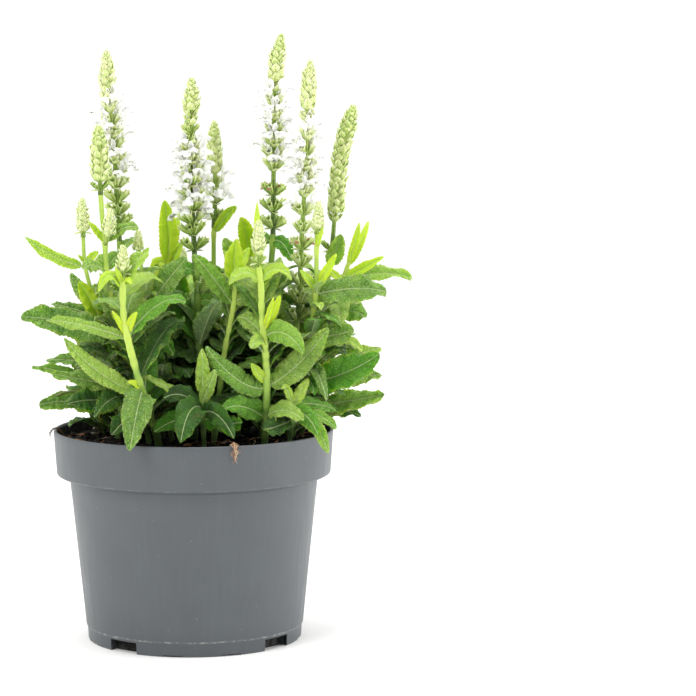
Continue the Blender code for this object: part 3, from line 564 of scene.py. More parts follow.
@dataclass
class Draft:
    """Closed skins collected into one mesh."""

    skins: list[tuple[Array, ...]] = field(default_factory=list)
    count: int = 0

    def add_solid(self, places: Array, quads: Array, triangles: Array, slot: int,
                  tones: Array, charts: Array) -> None:
        """Add one closed skin, turned so that its faces point out.

        Args:
            places: its corners, (n, 3).
            quads: its four-sided faces.
            triangles: its three-sided faces.
            slot: its material.
            tones: a tone for each corner, or one for all.
            charts: the same of chart places.
        """
        halves = np.concatenate([quads[:, [0, 1, 2]], quads[:, [0, 2, 3]], triangles])
        centred = places - places.mean(0)
        a, b, c = (centred[halves[:, i]] for i in range(3))
        if np.einsum("ij,ij->", a, np.cross(b, c)) < 0:
            quads, triangles = quads[:, ::-1], triangles[:, ::-1]
        count = len(places)
        self.skins.append((places, np.broadcast_to(tones, (count, 4)), np.broadcast_to(charts, (count, 3)),
                           quads + self.count, triangles + self.count,
                           np.full(len(quads), slot), np.full(len(triangles), slot)))
        self.count += count

    def add_rings(self, rings: Array, slot: int, tones: Array = PLAIN_TONE,
                  charts: Array = PLAIN_CHART, foot: Sequence[float] | None = None,
                  tip: Sequence[float] | None = None) -> None:
        """Add a skin over rings of equal count, closed at each end round a middle place.

        Args:
            rings: the rings' places, (m, n, 3).
            slot: its material.
            tones: a tone for each place, or one for all.
            charts: the same of chart places.
            foot: middle of the first end, or None for that ring's own.
            tip: the same of the last end.
        """
        m, n = rings.shape[:2]
        ends = np.array([rings[0].mean(0) if foot is None else foot,
                         rings[-1].mean(0) if tip is None else tip])
        places = np.concatenate([rings.reshape(-1, 3), ends])
        here = np.arange(n)
        after = (here + 1) % n
        rows = np.arange(m - 1)[:, None] * n
        quads = np.stack([rows + here, rows + after, rows + n + after, rows + n + here], -1).reshape(-1, 4)
        last = (m - 1) * n
        triangles = np.concatenate([np.stack([after, here, np.full(n, m * n)], -1),
                                    np.stack([last + here, last + after, np.full(n, m * n + 1)], -1)])
        spread = []
        for values, width in ((tones, 4), (charts, 3)):
            full = np.broadcast_to(np.asarray(values, float), (m, n, width))
            spread.append(np.concatenate([full.reshape(-1, width), full[0, :1], full[-1, :1]]))
        self.add_solid(places, quads, triangles, slot, *spread)

    def make(self, name: str, materials: Sequence[Material], sharp: float = 50.0) -> bpy.types.Object:
        """Make the object of all that was added.

        Args:
            name: its name.
            materials: its material for each slot number.
            sharp: angle in degrees past which an edge stays hard.

        Returns:
            The object, linked into the scene.
        """
        mesh = bpy.data.meshes.new(name)
        places, tones, charts, quads, triangles, *slots = map(np.concatenate, zip(*self.skins))
        totals = np.concatenate([np.full(len(quads), 4), np.full(len(triangles), 3)])
        corners = np.concatenate([quads.ravel(), triangles.ravel()])
        mesh.vertices.add(len(places))
        mesh.vertices.foreach_set("co", (places * MM).ravel())
        mesh.loops.add(len(corners))
        mesh.loops.foreach_set("vertex_index", corners)
        mesh.polygons.add(len(totals))
        mesh.polygons.foreach_set("loop_start", np.cumsum(totals) - totals)
        mesh.polygons.foreach_set("loop_total", totals)
        mesh.polygons.foreach_set("material_index", np.concatenate(slots))
        mesh.update(calc_edges=True)
        for key, kind, values in (("tone", "color", tones), ("chart", "vector", charts)):
            layer = mesh.attributes.new(key, "FLOAT_" + kind.upper(), "POINT")
            layer.data.foreach_set(kind, values.astype(np.float32).ravel())
        mesh.shade_smooth()
        mesh.set_sharp_from_angle(angle=radians(sharp))
        for material in materials:
            mesh.materials.append(material)
        thing = bpy.data.objects.new(name, mesh)
        bpy.context.scene.collection.objects.link(thing)
        return thing


def present(piece: bpy.types.Object, slot: str, *nodes: str) -> None:
    """Ride a piece on the root body in place of its nodes.

    Args:
        piece: the finished object.
        slot: the record's material slot; not used.
        nodes: the frame's nodes that it stands for.
    """
    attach(piece, "root")
    if nodes:
        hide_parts(*nodes)
    LOG.info("%s: %d faces", piece.name, len(piece.data.polygons))


def turn_frames(places: Array) -> tuple[Array, Array]:
    """Directions square to a line, turning as little as they can.

    Args:
        places: the line, (m, 3).

    Returns:
        Across and beside, each (m, 3).
    """
    along = np.gradient(places, axis=0)
    along /= np.linalg.norm(along, axis=1, keepdims=True)
    start = np.array([1.0, 0.0, 0.0]) if abs(along[0, 0]) < 0.8 else np.array([0.0, 1.0, 0.0])
    across = np.empty_like(along)
    for i, way in enumerate(along):
        start = start - way * start.dot(way)
        start = start / np.linalg.norm(start)
        across[i] = start
    return across, np.cross(along, across)


def tube(places: Array, radii: Array, sides: int, square: float = 0.0) -> Array:
    """Rings round a line.

    Args:
        places: the line, (m, 3).
        radii: radius at each place.
        sides: places in a ring.
        square: 0 for round, 1 for square with grooved faces.

    Returns:
        The rings, (m, sides, 3).
    """
    across, beside = turn_frames(places)
    angles = np.arange(sides) * tau / sides
    c, s = np.cos(angles), np.sin(angles)
    boxy = (np.abs(c) ** 3.4 + np.abs(s) ** 3.4) ** (-1 / 3.4) * 0.88 - 0.06 * (np.cos(4 * angles) > 0.9)
    reach = np.outer(radii, mix(1.0, boxy, square))
    return places[:, None] + reach[..., None] * (across[:, None] * c[:, None] + beside[:, None] * s[:, None])


def plate(line: Array, side: Array, normal: Array, across: Array, height: Array, thick: Array) -> Array:
    """Closed rings of a thin plate along a rib.

    Args:
        line: the rib, (m, 3).
        side: direction across it, (m, 3).
        normal: direction of its upper face, (m, 3).
        across: each place's distance from the rib, (m, n).
        height: its height over the rib, (m, n).
        thick: the thickness there, nought at both edges, (m, n).

    Returns:
        Rings that run over the upper face and back under it, (m, 2 n - 2, 3).
    """
    middle = line[:, None] + side[:, None] * across[..., None] + normal[:, None] * height[..., None]
    half = normal[:, None] * (thick / 2)[..., None]
    return np.concatenate([middle + half, (middle - half)[:, -2:0:-1]], axis=1)


def both_faces(upper: Array, lower: Array) -> Array:
    """Values of a plate's two faces, in the order of plate()'s rings."""
    return np.concatenate([upper, lower[:, -2:0:-1]], axis=1)


@dataclass(frozen=True)
class Blade:
    """One leaf: where its rib starts and ends, its width, upper-face direction, bend, age and detail."""

    base: Vector
    tip: Vector
    width: float
    up: Vector
    rise: float
    age: float = 0.5
    chance: float = 0.5
    detail: int = 3

    def rib(self, shares: Array) -> tuple[Array, Array, Array]:
        """Places on the rib.

        Args:
            shares: shares of the rib's length, (m,).

        Returns:
            Places, directions along it and upper-face directions, each (m, 3).
        """
        base, tip, up = np.array(self.base), np.array(self.tip), np.array(self.up)
        lift = np.array(UP) * self.rise * 4 / 3
        a = base + (tip - base) * 0.3 + lift
        b = base + (tip - base) * 0.72 + lift
        s = shares[:, None]
        r = 1 - s
        places = base * r ** 3 + a * 3 * r ** 2 * s + b * 3 * r * s ** 2 + tip * s ** 3
        along = (a - base) * r ** 2 + (b - a) * 2 * r * s + (tip - b) * s ** 2
        along /= np.linalg.norm(along, axis=1, keepdims=True)
        normal = up - along * (along @ up)[:, None]
        normal /= np.linalg.norm(normal, axis=1, keepdims=True)
        return places, along, normal


@dataclass(frozen=True)
class BladeShape:
    """How a sage blade is made: stalk, long oval with rounded teeth, fold, puckers between its veins."""

    stalk_share: float = 0.07
    stalk_width: float = 0.12
    fold: float = radians(16.0)
    tooth_pitch: float = 2.5
    fill_pitch: float = 4.2
    tooth_depth: float = 0.6
    pucker: float = 0.2
    swing: float = 0.035
    droop: float = 0.1
    thick: float = 0.42
    rib_thick: float = 0.8
    # The frame's own blades
    frame_thick: float = 1.0
    frame_notch: float = 0.08
    frame_long: float = 28.0

    def outline(self, shares: Array) -> Array:
        """Outline of a blade.

        Args:
            shares: shares of its length.

        Returns:
            Its half width there, 1 at its widest.
        """
        along = np.clip((shares - self.stalk_share) / (1 - self.stalk_share), 0.0, 1.0)
        # The curve is highest at 45 % of the blade
        peak = 0.4545 ** 0.5 * 0.5455 ** 0.6
        return mix(self.stalk_width, 1.0, along ** 0.5 * (1 - along) ** 0.6 / peak)

    def frame_rings(self, blade: Blade, spare: float = 0.0) -> Array:
        """Rings of the frame's own blade, its tip as a last narrow ring.

        Args:
            blade: the leaf.
            spare: room left round it.

        Returns:
            The rings, (m, 4, 3).
        """
        count = 5 if (blade.tip - blade.base).length > self.frame_long else 3
        shares = np.arange(count) / count
        places, along, normal = blade.rib(shares)
        side = np.cross(along, normal)
        notch = 1.0 - self.frame_notch * (-1.0) ** np.arange(count)
        half = (0.5 * blade.width * self.outline(shares) * notch + spare)[:, None]
        lift, out = normal * half * sin(self.fold), side * half * cos(self.fold)
        thin = mix(1.5, 0.85, np.minimum(1.0, shares * 3))
        thick = normal * (0.5 * self.frame_thick * thin + spare)[:, None]
        rings = np.stack([places - out + lift, places + thick, places + out + lift, places - thick], axis=1)
        tip, ahead, _ = blade.rib(np.array([1.0]))
        return np.concatenate([rings, np.broadcast_to(tip + ahead * spare, (1, 4, 3))])

    def grow(self, blade: Blade, draft: Draft) -> None:
        """Add the finished leaf to a mesh whose second slot is the leaf's.

        Args:
            blade: the leaf.
            draft: the mesh.
        """
        draw = Random(round(blade.chance * 1e6))
        length = (blade.tip - blade.base).length
        shown = blade.detail > 2
        teeth = max(3, round(length / (self.tooth_pitch if shown else self.fill_pitch)))
        stations = blade.detail * teeth
        shares = (np.arange(stations) + 0.02) / stations * (1 - 0.25 / stations)
        places, along, normal = blade.rib(shares)
        side = np.cross(along, normal)
        s, mm = shares[:, None], shares[:, None] * length
        # The rib swings a little aside, and its end hangs or turns up
        hang = draw.uniform(-0.45, 1.0) * self.droop * length
        bend = np.clip(s - 0.5, 0.0, 1.0) ** 2 * 4
        aside = side * draw.uniform(-1, 1) * self.swing * length * np.sin(pi * s)
        places = places + aside - normal * hang * bend
        # Places across the blade, by its half width
        wide = shown and blade.width > 8
        v = np.array([0.0, 0.1, 0.3, 0.55, 0.8, 1.0] if wide else [0.0, 0.14, 0.5, 1.0])
        v = np.concatenate([-v[:0:-1], v])
        q = np.abs(v)
        pointed = 1.07 * (1 - shares) ** (0.08 + 0.16 * draw.random())
        half = (0.5 * blade.width * self.outline(shares) * pointed)[:, None]
        tooth = np.abs(np.sin(pi * s * teeth)) ** 0.6 - 0.6
        depth = self.tooth_depth * np.minimum(1.0, half / 4) * (s > self.stalk_share)
        across = v * half + np.sign(v) * q ** 5 * tooth * depth
        # Young leaves stay folded, old ones open, and their edges wave
        fold = self.fold + radians(14.0) * max(0.0, 0.5 - blade.age) + radians(draw.uniform(-7, 9))
        height = half * (sin(fold) * q - 0.14 * q ** 3 + 0.07 * np.sin(pi * q))
        lively = min(1.0, 0.3 + 1.1 * blade.age) * (1.0 if shown else 0.5)
        wave = (0.03 + 0.15 * lively) * blade.width * q ** 2 * np.minimum(1.0, s * 3)
        for sign in (-1, 1):
            slow, quick = draw.uniform(1.0, 2.2), draw.uniform(2.8, 5.5)
            edge = 0.75 * np.sin(tau * (s * slow + draw.random()))
            edge = edge + 0.45 * np.sin(tau * (s * quick + draw.random()))
            height = height + (np.sign(v) == sign) * wave * edge
            lobed = 0.05 * np.sin(tau * (s * quick * 0.7 + draw.random())) + draw.uniform(-0.05, 0.05)
            across = across * (1 + (np.sign(v) == sign) * lively * lobed)
        # Puckers: six sets of ripples 3 to 6 mm apart, crossing at random
        deep = self.pucker * lively * min(1.0, blade.width / 12)
        for _ in range(6):
            turn, pitch = draw.uniform(0, pi), draw.uniform(3.0, 6.0)
            ripple = np.sin(tau * (mm * cos(turn) + across * sin(turn)) / pitch + 9 * draw.random())
            height = height + deep * ripple * np.minimum(1.0, q * 4)
        twist = draw.uniform(-0.12, 0.12) + draw.uniform(-0.5, 0.5) * s ** 2
        height = height + across * twist
        stalk = np.clip(1 - s / (1.6 * self.stalk_share), 0.0, 1.0)
        keel = self.rib_thick * (1 - 0.8 * s) * np.exp(-(across / 0.8) ** 2)
        thick = (self.thick + 0.9 * stalk) * np.sqrt(1 - q ** 2) + keel * (q < 1)
        rings = plate(places, side, normal, across, height - keel / 2, thick)
        tones, below = (stacked(blade.age, face, blade.chance, s + 0 * v) for face in (1.0, 0.0))
        shift = 100.0 * blade.chance
        charts = stacked(mm + shift, across, shift)
        tip = np.array(blade.tip) - normal[-1] * hang
        draft.add_rings(rings, 1, both_faces(tones, below), both_faces(charts, charts), tip=tip)


# One row per leaf that shows: height on its stem, tip (x, z, y), width, how far its upper face turns from
# the sky to the viewer in degrees, how far its rib rises in the middle, and its age from 0 to 1
LEAVES = {
    "stem_front_left": [
        (150, -39, 115, -93, 19, 78, 9, .64), (149, -78, 184, -52, 11, 60, -4, .4),
        (152, -39, 157, -70, 4, 60, 0, 0), (182, -89, 194, -62, 9, 50, 3, .44),
        (183, -4, 205, -68, 12, 45, 9, .5), (184, -49, 200, -76, 4, 70, 0, 0),
        (185, -34, 199, -76, 5, 80, 1, 0), (212, -57, 211, -82, 8, 50, 9, .2),
        (213, -27, 236, -70, 10, 70, 3, .35), (216, -47, 226, -82, 3.5, 60, 0, .1),
        (217, -37, 216, -84, 4, 60, 2, .1)],
    "stem_front_right": [
        (133, 18, 140, -64, 15, 65, 4, .6), (134, 67, 131, -68, 14, 60, 6, .45),
        (152, 8, 178, -56, 13, 65, -8, .55), (153, 82, 189, -42, 17, 70, -4, .5),
        (155, 35, 167, -52, 6, 75, 0, .2), (183, 26, 196, -42, 11, 60, 3, .45),
        (183, 67, 173, -64, 15, 75, 7, .42), (181, 35, 178, -68, 9, 65, 2, .38),
        (186, 53, 209, -54, 5, 75, 1, 0), (186, 49, 208, -60, 3.5, 75, 0, 0),
        (215, 22, 215, -60, 8, 45, 8, .3), (216, 60, 218, -52, 8, 50, 7, .25),
        (222, 39, 266, -42, 6, 80, 0, .1)],
    "shoot_centre": [
        (141, -29, 161, -60, 10, 50, 0, .42), (148, 5, 176, -57, 9, 82, 0, .36),
        # The last two are aged to a near-dark green that paints the shade falling on them
        (143, 13, 163, -64, 8, 80, 0, .45), (139, -8, 119, -84, 16, 70, 8, .88),
        (137, 24, 122, -78, 13, 65, 7, .88)],
    "shoot_rim_right": [
        (134, 82, 112, -66, 10, 62, 7, .42), (139, 54, 152, -54, 5, 75, 1, .3),
        (141, 70, 158, -44, 7, 82, 0, .3), (137, 88, 127, -42, 8, 50, 4, .45),
        (141, 86, 138, -24, 10, 60, 3, .55)],
    "stem_right_front": [
        (158, 81, 144, -48, 10, 60, 12, .62), (155, 113, 173, -32, 20, 66, -3, .68),
        (182, 98, 187, -34, 15, 62, 0, .55), (209, 117, 212, -40, 18, 62, 1, .62),
        (213, 87, 234, -36, 6, 62, 0, .05), (212, 65, 224, -38, 5, 70, 0, .2),
        (236, 79, 250, -36, 3, 70, 0, .05)],
    "stem_tall_right": [(188, 48, 204, -18, 10, 60, 4, .5)],
    "stem_tallest": [(241, 60, 229, 4, 11, 60, 5, .7), (240, 34, 243, 26, 9, 60, 3, .6)],
    "shoot_spoon": [
        (202, 1, 234, -34, 11, 65, 1, .45), (204, 39, 213, -32, 11, 62, 0, .5),
        (217, 26, 242, -40, 12, 86, 0, .1), (219, 20, 236, -22, 7, 70, 0, .2),
        (220, 34, 238, -22, 7, 70, 0, .15)],
    "stem_centre": [
        (203, 17, 196, -24, 8, 50, 6, .5), (222, -16, 214, -26, 11, 55, 6, .6),
        (221, 16, 222, -4, 9, 55, 4, .6)],
    "stem_back_centre": [(246, 27, 263, 10, 7, 55, 2, .15)],
    "shoot_back_right": [
        (229, 29, 255, 24, 11, 82, 0, 0), (212, 19, 244, 34, 14, 72, 0, .4),
        (225, 42, 240, 38, 8, 60, 0, .3)],
    "stem_inner_left": [
        (200, -4, 232, -38, 14, 64, 0, .6), (202, -41, 211, -38, 8, 50, 2, .5),
        (160, -30, 188, -44, 16, 84, 0, .8), (178, -12, 172, -40, 10, 60, 6, .7),
        (230, -26, 238, -36, 4, 60, 0, .2)],
    "shoot_bright": [
        (227, -17, 267, 2, 12, 84, 0, .05), (228, -9, 257, 14, 9, 80, 0, .1),
        (224, -24, 217, -2, 9, 50, 8, .1), (222, -6, 242, 0, 7, 70, 0, .1)],
    "stem_tall_left": [(235, -33, 243, 8, 8, 55, 3, .5), (230, -60, 224, 4, 10, 50, 4, .5)],
    "stem_left_spike": [
        (241, -63, 254, -41, 5, 50, 0, .1), (241, -33, 251, -45, 8, 56, 3, .5),
        (223, -66, 225, -46, 13, 40, 3, .5), (224, -44, 234, -28, 9, 50, 2, .5),
        (192, -57, 216, -40, 8, 80, 0, .5)],
    "stem_far_left": [
        (227, -101, 245, -32, 8, 60, -3, .3), (227, -57, 236, -12, 5, 60, 0, .1),
        (192, -69, 218, -30, 10, 74, 0, .1), (196, -86, 205, -18, 7, 45, 1, .65),
        (200, -74, 222, -6, 10, 70, 0, .55), (229, -69, 234, -26, 2.5, 60, 0, .1)],
    "stem_right_spike": [
        (226, 90, 246, 14, 11, 82, 0, .4), (212, 133, 220, 6, 12, 50, 5, .4),
        (205, 62, 222, 30, 10, 60, 3, .6)],
    "shoot_right": [
        (226, 101, 253, -6, 5, 75, 0, .05), (226, 106.5, 254, 2, 5, 70, -2, .05),
        (218, 116, 232, -10, 7, 55, 0, .1), (217, 80, 226, 6, 5, 60, 0, .1),
        (198, 105, 196, -14, 14, 56, 2, .55), (182, 104, 175, 4, 9, 50, 3, .3),
        (165, 62, 190, 14, 12, 60, 2, .6)],
    "shoot_left_low": [
        (143, -77, 143, -52, 17, 66, 2, .82), (153, -86, 161, -42, 13, 52, 1, .55),
        (182, -104, 197, -36, 18, 62, 2, .65), (140, -26, 136, -62, 12, 60, 5, .7),
        (165, -36, 190, -10, 12, 60, 2, .7)],
    "shoot_left_back": [
        (138, -94, 142, -18, 12, 55, 3, .65), (154, -98, 166, -8, 10, 50, 1, .5),
        (167, -89, 171, 0, 11, 55, 0, .65)],
    "shoot_right_low": [
        (140, 117, 147, -8, 16, 62, 1, .5), (138, 102, 134, 2, 13, 50, 3, .8),
        (156, 115, 160, 8, 14, 55, 1, .55), (160, 115, 177, 12, 11, 60, 2, .4)],
}

# The same for leaves low over the soil, of which the last is withered
LOW_LEAVES = {
    "shoot_centre": [
        (135, -24, 126, -66, 15, 60, 3, .9), (141, -18, 147, -58, 12, 60, 4, .85),
        (134, 30, 131, -66, 14, 55, 3, .9)],
    "stem_front_left": [(137, -50, 124, -66, 14, 60, 4, .85)],
    "stem_front_right": [(148, 22, 150, -40, 13, 60, 3, .75)],
    "shoot_spoon": [(140, 30, 138, -52, 13, 60, 4, .85)],
    "shoot_rim_right": [(132, 42, 126, -66, 12, 60, 3, .85), (133, 76, 122, -66, 13, 60, 4, .6)],
    "stem_right_front": [(138, 72, 132, -50, 13, 60, 4, .7)],
    "stem_left_spike": [(138, -60, 134, -50, 13, 60, 4, .8)],
    "stem_inner_left": [(138, -30, 134, -52, 13, 60, 4, .88), (140, 4, 140, -44, 12, 60, 4, .88)],
    "shoot_left_back": [(143, -86, 148, -24, 5, 35, 5, 1.0)],
}


@dataclass
class LeafyStem:
    """A square stem with the leaves that it carries.

    route is (x, z, y) above the soil and age the stem's own, from 0 for yellow-green to 1 for deep green;
    pairs are the heights of the leaf pairs that grow by rule, and turn is the first one's way in degrees.
    """

    name: str
    foot: Pair
    thick: Pair
    route: list[Triple]
    age: float
    pairs: Sequence[float] = ()
    turn: float = 0.0
    blades: list[Blade] = field(default_factory=list)
    sides: int = 16
    step: float = 1.6
    grown: float = 14.0

    def knots(self) -> list[Vector]:
        """Knots of the stem, straight up out of the soil and then along its route."""
        x, y = self.foot
        return [Vector((x, y, STEM_FOOT)), Vector((x, y, SOIL_TOP + 3)), *(seen(*p) for p in self.route)]

    def place(self, height: float) -> Vector:
        """Place on the stem's axis that shows at a height."""
        return level(smooth(self.knots(), 3.0), height)[0]

    def top(self) -> float:
        """Height at which the stem's top shows."""
        return as_seen(self.knots()[-1])[1]

    def grow(self, draft: Draft, shape: BladeShape) -> None:
        """Add stem and leaves to a mesh whose slots are stem and leaf.

        Args:
            draft: the mesh.
            shape: how its blades are made.
        """
        places = np.array(smooth(self.knots(), self.step))
        share = np.linspace(0.0, 1.0, len(places))
        plain = mix(*self.thick, share)
        radii, sheath = plain, np.zeros(len(places))
        # Swollen where a grown leaf starts
        for blade in self.blades:
            if (blade.tip - blade.base).length > self.grown:
                gap = np.linalg.norm(places - np.array(blade.base), axis=1)
                radii = np.maximum(radii, plain * (1 + 0.26 * np.exp(-(gap / 2.4) ** 2)))
                sheath = np.maximum(sheath, 0.3 * np.exp(-(gap / 3) ** 2))
        rings = tube(places, radii, self.sides, 1.0)
        seed = 7.3 * len(self.name) + self.foot[0]
        lengths = share[:, None] * 120.0 + seed
        around = np.arange(self.sides)[None] * tau / self.sides * 2.0
        charts = stacked(lengths, around, seed)
        # Deeper in tone low in the plant, which paints the shade under the leaves, and in the grooves between
        # the four ridges
        shade = 0.5 * np.clip((188 - places[:, 2]) / 56, 0, 1)
        deep = (self.age + 0.36 - 0.46 * share - sheath + shade)[:, None] - 0.09 * np.cos(2 * around)
        draft.add_rings(rings, 0, reddened(np.clip(deep, 0, 1), deep.shape), charts)
        for blade in self.blades:
            shape.grow(blade, draft)


# Stems: name, foot on the soil (x, y), radii at foot and top, route, age, pair heights, first turn
STEMS = {row[0]: LeafyStem(*row) for row in (
    ("stem_front_left", (-21, -36), (2.5, 1.7), [(-31, 150, -60), (-36, 168, -66), (-39.5, 182, -70),
     (-42, 197, -72), (-42.5, 212, -74), (-42.4, 221, -75)], 0.12),
    ("stem_front_right", (42, -35), (2.4, 1.7), [(44.3, 150, -44), (44, 170, -46), (43, 182, -48),
     (41.5, 197, -50), (41, 216, -52), (39.6, 227, -52)], 0.18),
    ("shoot_centre", (6, -45), (1.8, 1.2), [(5, 138, -50), (4.4, 151, -52)], 0.4),
    ("shoot_rim_right", (57, -38), (1.7, 1.2), [(60, 134, -46), (62, 144, -48)], 0.4),
    ("stem_right_front", (57, -12), (2.0, 1.4), [(66, 150, -22), (71, 180, -27), (74.3, 210, -30),
     (74.8, 226, -30), (75, 247, -30)], 0.25),
    ("stem_tall_right", (41, -2), (2.4, 1.9), [(54, 150, -8), (60.5, 178, -10), (63, 193, -10)], 0.6,
     [150, 176], 100),
    ("stem_tallest", (26, 12), (2.5, 2.0), [(36, 160, 16), (44, 200, 18), (48, 235, 18), (48.5, 246, 18)],
     0.6, [172, 206], 20),
    ("shoot_spoon", (12, -22), (1.9, 1.4), [(17, 160, -26), (19.5, 178, -27), (22, 190, -28),
     (24.5, 203, -28), (25.5, 215, -28), (26, 225, -28)], 0.2, [160], 160),
    ("stem_centre", (0, -7), (2.5, 2.1), [(2, 150, -10), (3.2, 175, -11), (3.2, 200, -11), (2, 220, -11),
     (1, 233, -11)], 0.75, [150, 178], 205),
    ("stem_back_centre", (9, 20), (2.0, 1.5), [(12, 160, 22), (12.4, 200, 22), (12.6, 240, 20),
     (12.8, 251, 20)], 0.3, [176, 212], 70),
    ("shoot_back_right", (24, 30), (1.9, 1.5), [(30, 170, 32), (34, 212, 30), (34.3, 233, 30)], 0.3,
     [160, 186], 40),
    ("stem_inner_left", (-13, -17), (2.0, 1.3), [(-24, 165, -28), (-28.5, 200, -32), (-30, 215, -32),
     (-31.5, 228, -31), (-32.6, 235.5, -31)], 0.4),
    ("shoot_bright", (-7, 12), (2.0, 1.6), [(-12, 170, 10), (-14.5, 212, 8), (-15, 232, 8)], 0.15,
     [160, 188], 110),
    ("stem_tall_left", (-20, 4), (2.3, 1.9), [(-33, 165, 6), (-41, 205, 6), (-43.7, 233, 6),
     (-44.2, 242, 6)], 0.5, [172, 208], 60),
    ("stem_left_spike", (-27, -20), (2.0, 1.6), [(-36, 155, -28), (-45, 185, -33), (-51, 215, -36),
     (-52.5, 230, -37), (-53, 242, -37), (-54.5, 258, -37), (-55.3, 271, -37)], 0.2),
    ("stem_far_left", (-34, -3), (1.9, 1.2), [(-47, 165, -12), (-58, 200, -20), (-64, 222, -22),
     (-65.5, 232, -22), (-66, 245.5, -22)], 0.25, [165], 80),
    ("stem_right_spike", (54, 16), (2.2, 1.7), [(70, 170, 20), (80, 210, 22), (84, 233, 22)], 0.4,
     [160, 186], 30),
    ("shoot_right", (60, 2), (1.8, 1.3), [(74, 165, 2), (84, 200, 0), (91, 219, -2), (94.8, 229, -2)],
     0.25),
    ("shoot_left_low", (-40, -22), (2.0, 1.5), [(-45, 145, -27), (-46.5, 165, -30), (-49, 187, -32)], 0.3),
    ("shoot_left_back", (-46, 4), (1.9, 1.5), [(-53, 150, 4), (-56, 172, 4), (-58, 190, 4)], 0.4, [180],
     60),
    ("shoot_right_low", (66, 14), (1.9, 1.4), [(74, 142, 6), (78, 158, 5), (80, 170, 5)], 0.4),
    ("stem_back_left", (-30, 30), (2.0, 1.5), [(-37, 165, 38), (-42, 205, 44), (-43, 222, 45)], 0.35,
     [142, 170, 200], 90),
    ("stem_back_middle", (-4, 44), (2.0, 1.5), [(-5, 165, 52), (-6, 200, 56), (-6, 218, 57)], 0.3,
     [140, 168, 198], 85),
    ("stem_back_right", (34, 46), (2.0, 1.5), [(42, 165, 54), (50, 196, 60), (53, 210, 62)], 0.35,
     [142, 168, 194], 130),
    ("stem_back_far_left", (-56, 26), (1.8, 1.4), [(-63, 150, 30), (-66, 178, 32), (-66, 196, 33)], 0.35,
     [140, 165, 190], 20),
    ("stem_back_far_right", (62, 36), (1.8, 1.4), [(71, 150, 42), (78, 176, 46), (80, 192, 47)], 0.35,
     [140, 164, 186], 65),
)}


# Stems that show their middle between the leaves, and where; below HEAD_FEET a head's foot stays free
OPEN_STEMS = ("stem_centre", "shoot_spoon")
OPEN_SPAN = range(156, 206, 8)
HEAD_FEET = 262.0


